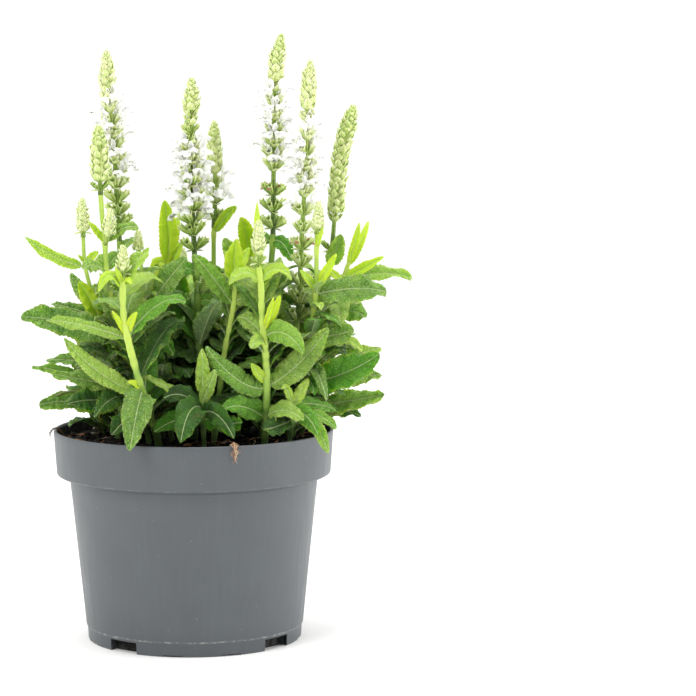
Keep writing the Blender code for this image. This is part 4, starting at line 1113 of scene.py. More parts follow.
@dataclass
class Foliage:
    """All leaves: finds which way each one of the frame grew, and adds small ones in between.

    canopy is the outline (x, z) under which leaves of no row stay, lengths the longest and youngest of
    them, slender their width by their length. fills holds, for each round of small leaves, their lengths and
    gaps along a stem; the other fill values are their width by length, highest place and clearance. Leaves
    in front of close show most teeth; none of no row comes before nearest, or below lowest at the front.
    """

    nodes: dict[str, bpy.types.Object]
    stems: dict[str, LeafyStem]
    feet: list[Vector]
    shape: BladeShape = BladeShape()
    canopy: tuple = ((-78, 140), (-66, 205), (-50, 228), (-30, 224), (-8, 230), (14, 226), (34, 222),
                     (52, 232), (74, 226), (88, 206), (98, 184), (100, 140))
    lengths: Pair = (56.0, 36.0)
    slender: float = 0.3
    match: float = 0.15
    fills: tuple = (((26.0, 50.0), (7.0, 12.0)), ((12.0, 25.0), (5.0, 8.0)))
    fill_slender: float = 0.46
    fill_top: float = 216.0
    fill_clear: float = 0.7
    close: float = -30.0
    nearest: float = -48.0
    lowest: float = 137.0
    head_room: float = 9.0
    seed: int = 400

    def shown_ways(self, stem: LeafyStem, row: tuple) -> Iterator[Blade]:
        """Ways in which a row's leaf may have grown.

        Args:
            stem: its stem.
            row: its row in LEAVES.

        Yields:
            The leaf as the row has it, then with its tip nearer or farther and its rib bent otherwise.
        """
        at, x, z, y, width, face, rise, age = row
        base = stem.place(at)
        chance = (at * 7.13 + x * 3.71 + z * 1.17) % 1.0
        nearer = (0, -5, 5, -10, 10, -15, 15, -21, 21, -28, 28)
        for less, near, bend, turn in product((1.0, 0.84), nearer, (0, 4, -4, 8, -8), (0, -22, 22)):
            tip = base.lerp(seen(x, z, y + near), less)
            tilt = radians(face + turn)
            up = Vector((0.0, -sin(tilt), cos(tilt)))
            yield Blade(base, tip, width * less, up, rise + bend, age, chance, 4 if y < self.close else 3)

    def under_canopy(self, blade: Blade) -> bool:
        """Whether a leaf stays in the outline and off the front of the others.

        Args:
            blade: the leaf.

        Returns:
            True if it does.
        """
        places = blade.rib(np.array([0.4, 0.7, 1.0]))[0]
        for place in map(Vector, places):
            x, z = as_seen(place)
            if not self.canopy[0][0] < x < self.canopy[-1][0] or place.z < SOIL_TOP + 5:
                return False
            if place.y < 0 and z < self.lowest:
                return False
            for (x_low, z_low), (x_high, z_high) in zip(self.canopy, self.canopy[1:]):
                if x_low <= x <= x_high and z > mix(z_low, z_high, (x - x_low) / (x_high - x_low)):
                    return False
        return blade.tip.y > self.nearest

    def rule_ways(self, stem: LeafyStem, height: float, angle: float, draw: Random) -> Iterator[Blade]:
        """Ways in which a rule's leaf may have grown.

        Args:
            stem: its stem.
            height: height on the stem.
            angle: direction in degrees.
            draw: chance.

        Yields:
            The leaf as the rule has it, then swung, raised or shortened.
        """
        young = max(0.0, min(1.0, 1 - (stem.top() - height) / 70))
        length = mix(*self.lengths, young) * draw.uniform(0.9, 1.1)
        climb = draw.uniform(8, 30) + 22 * young
        age = 0.72 - 0.4 * young + 0.1 * sin(angle + height)
        chance = (angle * 0.37 + height * 0.19) % 1.0
        for blade in self.swing(stem.place(height), angle, climb, length, (1.0, 0.82, 0.66), (0, 12, -12, 24),
                                (0, 14, -14, 28, -28, 42, -42)):
            long = (blade.tip - blade.base).length
            blade = replace(blade, width=long * self.slender, rise=length * 0.1, age=age, chance=chance)
            if self.under_canopy(blade):
                yield blade

    def swing(self, base: Vector, angle: float, climb: float, length: float, sizes: Sequence[float],
              raises: Sequence[float], swings: Sequence[float]) -> Iterator[Blade]:
        """Leaves that start at a place, swung, raised and shortened.

        Args:
            base: where they start.
            angle: direction in degrees.
            climb: how far they point up, in degrees.
            length: their full length.
            sizes: shares of it.
            raises: what is added to the climb.
            swings: what is added to the direction.

        Yields:
            The leaves, with no width or age yet.
        """
        for less, raised, swung in product(sizes, raises, swings):
            turn, lift = radians(angle + swung), radians(climb + raised)
            out = Vector((cos(turn), sin(turn), 0.0))
            tip = base + (out * cos(lift) + UP * sin(lift)) * length * less
            yield Blade(base, tip, 0.0, UP - out * 0.4, 0.0)

    def grew(self, tree: BVHTree, blade: Blade) -> bool:
        """Whether a node of the frame holds this very leaf.

        Args:
            tree: search tree over the node, in mm.
            blade: the leaf.

        Returns:
            True if most corners of its outer rings lie on the node's surface.
        """
        rings = self.shape.frame_rings(blade)
        corners = [*rings[-3][[0, 2]], *rings[-2][[0, 2]], rings[-1][0]]
        near = [tree.find_nearest(Vector(corner))[3] < self.match for corner in corners]
        return sum(near) >= 4

    def gather(self) -> None:
        """Give each stem the leaves that its node has."""
        for number, stem in enumerate(self.stems.values()):
            mesh = self.nodes[stem.name].data
            tree = BVHTree.FromPolygons([v.co / MM for v in mesh.vertices],
                                        [tuple(p.vertices) for p in mesh.polygons])
            ways = [self.shown_ways(stem, row) for row in LEAVES.get(stem.name, [])]
            for step, height in enumerate(stem.pairs):
                for side in (0, 180):
                    draw = Random(1000 * number + 10 * step + side)
                    angle = stem.turn + 90 * step + side + draw.uniform(-12, 12)
                    ways.append(self.rule_ways(stem, height, angle, draw))
            found = [next((blade for blade in way if self.grew(tree, blade)), None) for way in ways]
            stem.blades = [blade for blade in found if blade]
            LOG.info("%s: %d of %d leaves", stem.name, len(stem.blades), len(ways))

    def fill_ways(self, stem: LeafyStem, height: float, angle: float, lengths: Pair,
                  draw: Random) -> Iterator[Blade]:
        """Ways in which a small leaf low in the plant may grow.

        Args:
            stem: its stem.
            height: height on the stem.
            angle: direction in degrees.
            lengths: its least and greatest length.
            draw: chance.

        Yields:
            The leaf, then swung, raised or shortened.
        """
        length = draw.uniform(*lengths)
        climb = draw.uniform(-4, 46)
        # Old and dark low down, which also paints the shade inside the plant; younger from 160 mm up
        age = max(0.35, draw.uniform(0.74, 0.93) - 0.3 * max(0.0, (height - 160) / 30))
        for blade in self.swing(stem.place(height), angle, climb, length, (1.0, 0.72, 0.5), (0, 22, -16),
                                (0, 25, -25, 55, -55)):
            long = (blade.tip - blade.base).length
            blade = replace(blade, width=long * self.fill_slender, rise=length * 0.12, age=age,
                            chance=draw.random(), detail=2)
            if self.under_canopy(blade) and not self.before_head(blade):
                yield blade

    def before_head(self, blade: Blade) -> bool:
        """Whether a leaf would hide the foot of a flower head.

        Args:
            blade: the leaf.

        Returns:
            True if it would.
        """
        for place in map(Vector, blade.rib(np.array([0.3, 0.65, 1.0]))[0]):
            x, z = as_seen(place)
            for low in self.feet:
                if place.y < low.y and dist((x, z), as_seen(low)) < self.head_room:
                    return True
        return False

    def hull(self, blade: Blade) -> tuple[list[Vector], list[tuple]]:
        """Corners and faces of the frame-like blade of a leaf, beyond its stalk.

        Args:
            blade: the leaf.

        Returns:
            Its corners, some clearance out from it, and its faces.
        """
        rings = self.shape.frame_rings(blade, self.fill_clear)[1:]
        places = [Vector(corner) for corner in rings.reshape(-1, 3)]
        faces = [(4 * i + j, 4 * i + (j + 1) % 4, 4 * i + 4 + (j + 1) % 4, 4 * i + 4 + j)
                 for i in range(len(rings) - 1) for j in range(4)]
        return places, faces

    def fill(self) -> None:
        """Grow small leaves in the room that the frame's own leaves leave free."""
        places, faces = [], []
        for node in self.nodes.values():
            first = len(places)
            places += [v.co / MM for v in node.data.vertices]
            faces += [tuple(first + i for i in p.vertices) for p in node.data.polygons]
        taken = [(BVHTree.FromPolygons(places, faces), Vector((-1e9,) * 3), Vector((1e9,) * 3))]
        for name, rows in LOW_LEAVES.items():
            stem = self.stems[name]
            grown = [self.settle(stem, self.shown_ways(stem, row), taken) for row in rows]
            LOG.info("%s: %d of %d low leaves", name, sum(grown), len(rows))
        count = 0
        for (lengths, gaps), (number, stem) in product(self.fills, enumerate(self.stems.values())):
            draw = Random(self.seed + number + round(lengths[0]))
            height, turn = 125.0, draw.uniform(0, 180)
            while height < min(stem.top() - 10, self.fill_top):
                for side in (0, 180):
                    angle = turn + side + draw.uniform(-15, 15)
                    count += self.settle(stem, self.fill_ways(stem, height, angle, lengths, draw), taken)
                height += draw.uniform(*gaps)
                turn += 90 + draw.uniform(-20, 20)
        LOG.info("filling leaves: %d", count)

    def settle(self, stem: LeafyStem, ways: Iterator[Blade], taken: list[tuple]) -> bool:
        """Give a stem the first way of a leaf that has room.

        Args:
            stem: the stem.
            ways: ways in which the leaf may grow.
            taken: search trees with their boxes over all that stands in the way.

        Returns:
            True if there was one.
        """
        for blade in ways:
            hull = self.hull(blade)
            tree = BVHTree.FromPolygons(*hull)
            low = Vector([min(p[i] for p in hull[0]) for i in range(3)])
            high = Vector([max(p[i] for p in hull[0]) for i in range(3)])
            if not any(all(low[i] < b[i] and high[i] > a[i] for i in range(3)) and tree.overlap(other)
                       for other, a, b in taken):
                taken.append((tree, low, high))
                stem.blades.append(blade)
                return True
        return False

    def build(self, stem_finish: Material, leaf_finish: Material, side_bud: "FlowerHead",
              husk_finish: Material) -> None:
        """Build each leafy stem.

        Args:
            stem_finish: material of the stems.
            leaf_finish: material of the leaves.
            side_bud: small head that grows at the side of its stem.
            husk_finish: its material.
        """
        for stem in self.stems.values():
            draft = Draft()
            stem.grow(draft, self.shape)
            if stem.name == side_bud.stem:
                side_bud.grow(draft, 2)
            piece = draft.make(stem.name + "_leaves", [stem_finish, leaf_finish, husk_finish])
            present(piece, "leafy_stem", stem.name)


@dataclass(frozen=True)
class Pose:
    """Place of a small organ, its way ahead, its upper side and the direction to its right."""

    place: Vector
    ahead: Vector
    up: Vector

    def put(self, places: Array) -> Array:
        """Move places (right, up, ahead) of the organ to where it stands."""
        return np.array(self.place) + places @ np.array([self.ahead.cross(self.up), self.up, self.ahead])


def leaning(axis: Vector, along: Vector, angle: float, spread: float, start: float) -> Pose:
    """Pose of an organ that leans out from a stem.

    Args:
        axis: place on the stem's axis.
        along: the stem's direction.
        angle: way round the stem in radians.
        spread: lean from the stem in radians.
        start: distance from the axis at which the organ starts.

    Returns:
        Its pose, the upper side facing the stem.
    """
    out = Vector((cos(angle), sin(angle), 0.0))
    out = (out - along * out.dot(along)).normalized()
    ahead = out * sin(spread) + along * cos(spread)
    return Pose(axis + out * start, ahead, along * sin(spread) - out * cos(spread))


class HuskSlots(Enum):
    """Material slots of a flower head."""

    STEM = 0
    HUSK = 1
    PETAL = 2
    WITHERED = 3


@dataclass(frozen=True)
class Organs:
    """Small organs of a flower head, in mm at full size: calyx, bract and the two-lipped floret.

    All of them go into draft.
    """

    draft: Draft
    calyx_length: float = 7.0
    calyx_mouth: float = 2.2
    tooth: float = 2.1
    bract_thick: float = 0.3
    petal_thick: float = 0.25

    def calyx(self, pose: Pose, size: float, opened: float, deep: float, slot: int) -> None:
        """Add a ribbed calyx.

        Args:
            pose: where it stands.
            size: share of its full size.
            opened: 0 for closed to a point, 1 for an open mouth.
            deep: depth of its green.
            slot: its material.
        """
        around = 12 if size > 0.7 else 8
        angles = np.arange(around) * tau / around
        # Four broad teeth
        ridge = 0.5 + 0.5 * np.cos(4 * angles)
        rib = 1 + 0.1 * (2 * ridge - 1)
        steps = [(0.0, 0.5), (0.15, 0.9), (0.4, 1.3), (0.7, mix(1.25, 1.7, opened)),
                 (0.9, mix(0.7, 1.9, opened))]
        rings = []
        for share, radius in steps:
            rings.append(self.oval(angles, radius * rib, share * self.calyx_length))
        mouth = mix(0.25, self.calyx_mouth, opened)
        edge = self.oval(angles, mouth * mix(0.95, 1.35, ridge), self.calyx_length)
        edge[:, 2] += ridge * self.tooth * mix(0.5, 1.0, opened)
        edge[:, 1] += 0.25 * (edge[:, 1] > 0)
        rings.append(edge)
        if opened > 0.3:
            rings.append(self.oval(angles, 1.3 * opened, 0.9 * self.calyx_length))
            rings.append(self.oval(angles, 0.8, 0.45 * self.calyx_length))
        local = np.array(rings) * size
        shares = np.array([0.0, 0.15, 0.4, 0.7, 0.9, 1.1, 0.9, 0.5][:len(rings)])
        # Darker in the grooves between the four teeth, as painted shade, and paler towards an open lip
        depths = (deep - 0.3 * shares ** 2 * opened)[:, None] + 0.36 * (0.35 - ridge)
        # Pale rim, and a dark throat that is painted shade inside the cup
        depths[5:6] -= 0.2 * opened
        depths[6:] = deep + 0.12
        tones = reddened(np.clip(depths, 0, 1), depths.shape)
        charts = stacked((shares * self.calyx_length)[:, None], angles[None] * 0.86, deep * 30)
        self.draft.add_rings(pose.put(local), slot, tones, charts)

    @staticmethod
    def oval(angles: Array, radius: Array | float, ahead: float) -> Array:
        """Ring of places (right, up, ahead) round an organ's axis."""
        return stacked(np.cos(angles) * radius * 0.9, np.sin(angles) * radius, ahead)

    def scale(self, pose: Pose, length: float, width: float, curl: float, cup: float, tones: Pair,
              slot: int) -> None:
        """Add a bract: a broad pointed scale, cupped round the stem.

        Args:
            pose: where it stands.
            length: its length.
            width: its width.
            curl: how far it bends up, in radians.
            cup: how far its edges rise, by its half width.
            tones: depth of its green at foot and tip.
            slot: its material.
        """
        shares = np.array([0.0, 0.14, 0.3, 0.48, 0.66, 0.82, 0.94])
        angles = curl * shares
        ahead = np.stack([np.zeros(7), np.sin(angles), np.cos(angles)], -1)
        normal = np.stack([np.zeros(7), np.cos(angles), -np.sin(angles)], -1)
        steps = np.diff(shares, prepend=0.0)[:, None] * length
        line = np.cumsum(ahead * steps, axis=0)
        side = np.broadcast_to(np.array([1.0, 0.0, 0.0]), (7, 3))
        v = np.array([-1.0, -0.7, -0.35, 0.0, 0.35, 0.7, 1.0])
        half = (0.5 * width * np.array([0.55, 0.9, 1.0, 0.96, 0.76, 0.44, 0.14]))[:, None]
        across = v * half * (1 - 0.25 * cup * v ** 2)
        height = half * cup * v ** 2
        thick = self.bract_thick * np.sqrt(1 - v ** 2) * np.ones((7, 1))
        rings = plate(line, side, normal, across, height, thick)
        tone = reddened(mix(tones[0], tones[1], shares)[:, None] + 0.12 * (v == 0), (7, 7))
        charts = stacked((shares * length)[:, None], across, width * 7)
        tip = line[-1] + ahead[-1] * length * 0.07
        self.draft.add_rings(pose.put(rings), slot, both_faces(tone, tone), both_faces(charts, charts),
                             tip=tuple(pose.put(tip)))

    def lobe(self, pose: Pose, size: float, start: Sequence[float], length: float, turns: Pair,
             half: Sequence[float], bow: Pair, tone: float, slot: int) -> None:
        """Add one petal, which curves in the floret's upright plane.

        Args:
            pose: where the floret's calyx stands.
            size: share of its full size.
            start: its foot (right, up, ahead).
            length: its length.
            turns: its direction at foot and tip, in radians over the way ahead.
            half: its half width from foot to tip.
            bow: how far its edges rise at foot and tip, by its half width.
            tone: its tone's red.
            slot: its material.
        """
        count = len(half)
        share = np.linspace(0.0, 1.0, count)
        turn, zero = mix(*turns, share), np.zeros(count)
        ahead = np.stack([zero, np.sin(turn), np.cos(turn)], -1)
        normal = np.stack([zero, np.cos(turn), -np.sin(turn)], -1)
        line = np.cumsum(ahead, axis=0) * length / (count - 1) + np.array(start)
        v = np.array([-1.0, -0.62, 0.0, 0.62, 1.0])
        width, rise = np.array(half)[:, None], mix(*bow, share)[:, None]
        thick = self.petal_thick * np.sqrt(1 - v ** 2) * np.ones((count, 1))
        side = np.broadcast_to(np.array([1.0, 0.0, 0.0]), (count, 3))
        rings = plate(line, side, normal, v * width * (1 - 0.35 * np.abs(rise)), rise * width * v ** 2, thick)
        self.draft.add_rings(pose.put(rings * size), slot, (tone, 1.0, 0.5, 0.5))

    def floret(self, pose: Pose, size: float, slot: int, draw: Random) -> None:
        """Add an open floret: tube, hooded upper lip, broad lower lip with two side lobes, and style.

        Args:
            pose: where its calyx stands.
            size: share of its full size.
            slot: its material.
            draw: chance.
        """
        t = np.linspace(0.0, 1.0, 5)
        bend = draw.uniform(-0.5, 0.5)
        line = np.stack([bend * t ** 2, 0.5 * t ** 2, 3.6 + 5.2 * t], -1)
        rings = tube(line, mix(0.75, 1.35, t), 6) * size
        self.draft.add_rings(pose.put(rings), slot, reddened(t[:, None], (5, 6)))
        arch = draw.uniform(-0.25, 0.25)
        self.lobe(pose, size, (bend, 0.9, 7.0), 7.0, (1.35 + arch, -0.65 + arch),
                  (1.2, 1.8, 2.2, 2.3, 2.0, 1.4, 0.4), (-0.95, -0.95), 1.0, slot)
        drop = draw.uniform(-0.3, 0.3)
        self.lobe(pose, size, (bend, -0.5, 7.2), 6.8, (0.1, -1.8 + drop),
                  (0.9, 2.0, 2.5, 2.9, 3.5, 3.2, 1.5), (0.1, -0.85), 0.9, slot)
        for way in (-1, 1):
            self.lobe(pose, size, (bend + way * 1.5, -0.6, 7.9), 3.4, (-0.2, -1.2 + drop),
                      (0.9, 1.5, 1.4, 0.6), (0.1, -0.6), 0.95, slot)
        line = np.stack([bend + 0 * t, 3.4 - 1.2 * t, 11.5 + 2.4 * t], -1)
        self.draft.add_rings(pose.put(tube(line, 0.16 + 0 * t, 4) * size), slot, (0.6, 1.0, 0.5, 0.5))


@dataclass
class FlowerHead:
    """A spike or bud head.

    whorls are the heights of its open rings of calyces, cone the height from which bracts close up, radius
    and blunt the cone's half width and how far below the tip it is reached, blooms the span of heights with
    open florets, full the share of calyces that flower there, withered the heights of dried ones, reach the
    calyces' size at foot and top, fine the size of the cone's bracts.
    """

    name: str
    stem: str
    route: list[Triple]
    whorls: list[float]
    cone: float
    radius: float
    blooms: Pair = (0.0, 0.0)
    withered: tuple[float, ...] = ()
    blunt: float = 13.0
    reach: Pair = (1.16, 0.78)
    full: float = 0.85
    fine: float = 0.85
    start: float | None = None
    pale: float = 0.0

    def axis(self) -> list[Vector]:
        """Line through the head.

        Returns:
            Places on it, from just inside the top of its stem to its tip.
        """
        stem = STEMS[self.stem]
        foot = stem.knots()[-1] if self.start is None else stem.place(self.start)
        route = [seen(*place) for place in self.route]
        return smooth([foot - (route[0] - foot).normalized() * 1.0, *route], 1.5)

    def grow(self, draft: Draft, slots_from: int = 0) -> None:
        """Add the head to a mesh.

        Args:
            draft: the mesh.
            slots_from: slot of its husks if it has no stem of its own, else 0.
        """
        places = self.axis()
        draw = Random(self.name)
        husk = slots_from or HuskSlots.HUSK.value
        tip_height = as_seen(places[-1])[1]
        bottom = as_seen(places[0])[1]
        # Square stalk inside the whorls, and the cone's core
        line = np.array(places)
        heights = np.array([as_seen(place)[1] for place in places])
        stalk = mix(1.75, 1.3, np.clip((heights - bottom) / (self.cone - bottom + 0.1), 0, 1))
        core = np.array([0.76 * self.girth(tip_height - height) for height in heights])
        radii = np.where(heights > self.cone, np.maximum(core, stalk * (heights < tip_height - 9)), stalk)
        charts = stacked(heights[:, None], (np.arange(12) * 0.5)[None], bottom)
        low = np.clip((self.cone - heights) / (self.cone - bottom + 0.1), 0, 1)
        deep = np.where(heights > self.cone, 0.34, 0.5 + 0.4 * low)[:, None] - self.pale
        draft.add_rings(tube(line, radii, 12, 0.6), husk, reddened(deep, (len(places), 12)), charts)
        organs = Organs(draft)
        for k, height in enumerate(self.whorls):
            self.whorl(organs, places, k, height, draw, husk)
        self.close(organs, places, tip_height, draw, husk)

    def girth(self, below: float) -> float:
        """Half width of the cone at a distance below its tip."""
        return self.radius * min(1.0, max(0.05, below) / self.blunt) ** 0.45

    def whorl(self, organs: Organs, places: list[Vector], k: int, height: float, draw: Random,
              husk: int) -> None:
        """Add one whorl: two bracts, six calyces and what flowers in them.

        Args:
            organs: makes the organs.
            places: the head's axis.
            k: number of the whorl.
            height: its height.
            draw: chance.
            husk: slot of the husks.
        """
        place, along = level(places, height)
        up = max(0.0, (height - self.whorls[0]) / max(1.0, self.cone - self.whorls[0]))
        size = mix(*self.reach, up ** 1.2)
        in_bloom = self.blooms[0] <= height <= self.blooms[1]
        opened = 1.0 if in_bloom else 0.62 if height <= max(self.blooms[1], self.cone - 26) else 0.4
        for side in (0, 1):
            facing = k * pi / 2 + side * pi + 0.35
            lean = radians(mix(104, 70, up) + draw.uniform(-9, 9))
            pose = leaning(place - along * 0.8, along, facing, lean, 1.1)
            broad = mix(4.6, 6.6, up) * draw.uniform(0.9, 1.1)
            organs.scale(pose, broad * 1.02, broad, mix(0.1, 1.15, up), mix(0.3, 0.5, up),
                         (0.42 - self.pale, 0.08), husk)
            for third in (-1, 0, 1):
                angle = facing + third * 0.68 + draw.uniform(-0.12, 0.12)
                spread = radians(mix(51, 31, up) + draw.uniform(-9, 9) - 5 * (third == 0))
                pose = leaning(place, along, angle, spread, 1.1)
                big = size * draw.uniform(0.88, 1.08)
                deep = mix(0.68, 0.5, up) + draw.uniform(-0.1, 0.1) - self.pale
                organs.calyx(pose, big, opened, deep, husk)
                if in_bloom and draw.random() < self.full:
                    roll = Matrix.Rotation(draw.uniform(-0.6, 0.6), 3, pose.ahead)
                    organs.floret(replace(pose, up=roll @ pose.up), draw.uniform(1.1, 1.35),
                                  HuskSlots.PETAL.value, draw)
                elif any(abs(height - z) < 4 for z in self.withered) and draw.random() < 0.5:
                    organs.floret(pose, big * 0.55, HuskSlots.WITHERED.value, draw)

    def close(self, organs: Organs, places: list[Vector], tip_height: float, draw: Random,
              husk: int) -> None:
        """Add the cone at the top: overlapping bracts with dark buds peeping out between them.

        Args:
            organs: makes the organs.
            places: the head's axis.
            tip_height: height of the tip.
            draw: chance.
            husk: slot of the husks.
        """
        height, k = self.cone, 0
        while height < tip_height - 1.3:
            below = tip_height - height
            grown = min(1.0, below / 24)
            length, width = self.fine * mix(2.8, 7.0, grown), self.fine * mix(2.8, 7.2, grown)
            place, along = level(places, height)
            outer = self.girth(below - 0.45 * length)
            root = 0.78 * outer
            lean = min(1.2, (outer - root) / (0.3 * length))
            for side in range(3):
                facing = 0.35 + k * pi / 3 + side * tau / 3 + draw.uniform(-0.3, 0.3)
                pose = leaning(place, along, facing, lean * draw.uniform(0.8, 1.25), root)
                organs.scale(pose, length * draw.uniform(0.8, 1.2), width * draw.uniform(0.85, 1.1),
                             draw.uniform(1.0, 1.5) * lean, 0.5,
                             (0.3 - self.pale, 0.06 + 0.16 * draw.random()), husk)
                if below > 9:
                    spread = radians(draw.uniform(24, 36))
                    pose = leaning(place, along, facing + 0.9, spread, 0.42 * outer)
                    size = (0.1 * outer + 0.12) * self.fine ** 0.5 * draw.uniform(0.85, 1.15)
                    organs.calyx(pose, size, 0.1, draw.uniform(0.4, 0.7) - self.pale, husk)
            height += self.fine * mix(1.2, 3.0, grown)
            k += 1

    def build(self, materials: Sequence[Material]) -> None:
        """Build the head as a piece of its own.

        Args:
            materials: one for each of HuskSlots.
        """
        draft = Draft()
        self.grow(draft)
        present(draft.make(self.name + "_bloom", materials), "flower_head", self.name)


# Heads: name, stem, route, whorls, foot of the cone, its radius, span in bloom, withered heights
HEADS = [
    FlowerHead("spike_left", "stem_tall_left", [(-45.3, 262, 6), (-46.2, 282, 6), (-47, 301, 6),
        (-48.6, 318, 6), (-50.4, 333, 6), (-51, 356, 6)], [251, 258.5, 266, 274, 281, 289, 297, 304.5, 312,
        320], 326, 5.0, (273, 322), (281,), full=0.7, pale=0.09),
    FlowerHead("spike_centre", "stem_centre", [(0, 260, -10), (-0.6, 285, -10), (-0.8, 310, -10),
        (0, 340, -10)], [237, 246, 252.5, 260, 267.5, 275, 282, 288.5, 295, 301, 306.5, 312, 317], 321, 5.2,
        (250, 296), full=1.0),
    FlowerHead("spike_tallest", "stem_tallest", [(48.7, 265, 18), (49.2, 300, 18), (49.8, 333, 18),
        (51.6, 352, 18), (54, 366, 18)], [250, 260, 270, 284.5, 292, 299, 306.5, 315, 324, 332.5], 338, 5.2,
        (283, 328), (270,)),
    FlowerHead("spike_right", "stem_tall_right", [(64.6, 208, -10), (65.4, 235, -10), (67, 262, -10),
        (68.8, 297, -10), (69.6, 322, -10), (71.3, 350, -10)], [194, 204, 215.5, 227, 237, 247, 258, 269,
        277.5, 285, 294, 303.5, 315], 322, 5.0, (257, 305), (239, 270), pale=0.1),
    FlowerHead("bud_spike_left", "stem_left_spike", [(-55.8, 290, -37), (-56, 312, -37)], [273.5], 279, 5.8,
        reach=(0.8, 0.8), fine=0.75, pale=-0.02),
    FlowerHead("bud_spike_centre", "stem_back_centre", [(13.6, 270, 20), (13.4, 292, 20), (13.2, 314, 20)],
        [256, 265, 275, 283], 286, 4.9, (264, 280), reach=(0.85, 0.7), fine=0.75, pale=0.04),
    FlowerHead("bud_spike_right", "stem_right_spike", [(86, 258, 22), (87.5, 275, 22), (90.5, 298, 22),
        (97.5, 324, 22)], [236, 254], 259, 5.7, reach=(0.95, 0.75), fine=0.75, pale=-0.06),
    FlowerHead("bud_far_left", "stem_far_left", [(-66.3, 258, -22), (-66.5, 268.5, -22)], [248], 249, 4.5,
        reach=(0.45, 0.45), fine=0.6, pale=0.15),
    FlowerHead("bud_front_left", "stem_front_left", [(-42.2, 230, -76), (-42, 240, -76)], [223], 225, 4.3,
        reach=(0.45, 0.45), fine=0.6, pale=0.05),
    FlowerHead("bud_inner_left", "stem_inner_left", [(-33, 242, -31), (-33, 249, -31)], [], 236.5, 3.9,
        fine=0.55, pale=0.0),
    FlowerHead("bud_front_right", "stem_front_right", [(39.6, 240, -52), (40, 254.5, -52)], [229, 234], 237,
        4.6, reach=(0.62, 0.5), fine=0.6, pale=0.15),
    FlowerHead("bud_right_front", "stem_right_front", [(75.8, 256, -30), (76.3, 266, -30)], [248], 250, 4.3,
        reach=(0.5, 0.45), fine=0.6, pale=0.15),
    FlowerHead("bud_back_middle", "stem_back_middle", [(-6, 230, 57), (-6, 238, 57)], [], 219.5, 4.0,
        fine=0.6, pale=0.1),
    FlowerHead("bud_back_left", "stem_back_left", [(-43.2, 230, 45), (-43.4, 238, 45)], [], 223.5, 4.0,
        fine=0.6, pale=0.1),
]

# It grows at the side of its stem and is a part of it
SIDE_BUD = FlowerHead(
    "side_bud", "stem_left_spike", [(-51, 246, -43), (-50, 254, -44), (-49.8, 262, -44)], [], 246, 4.4,
    start=240.0, fine=0.6, pale=0.15)


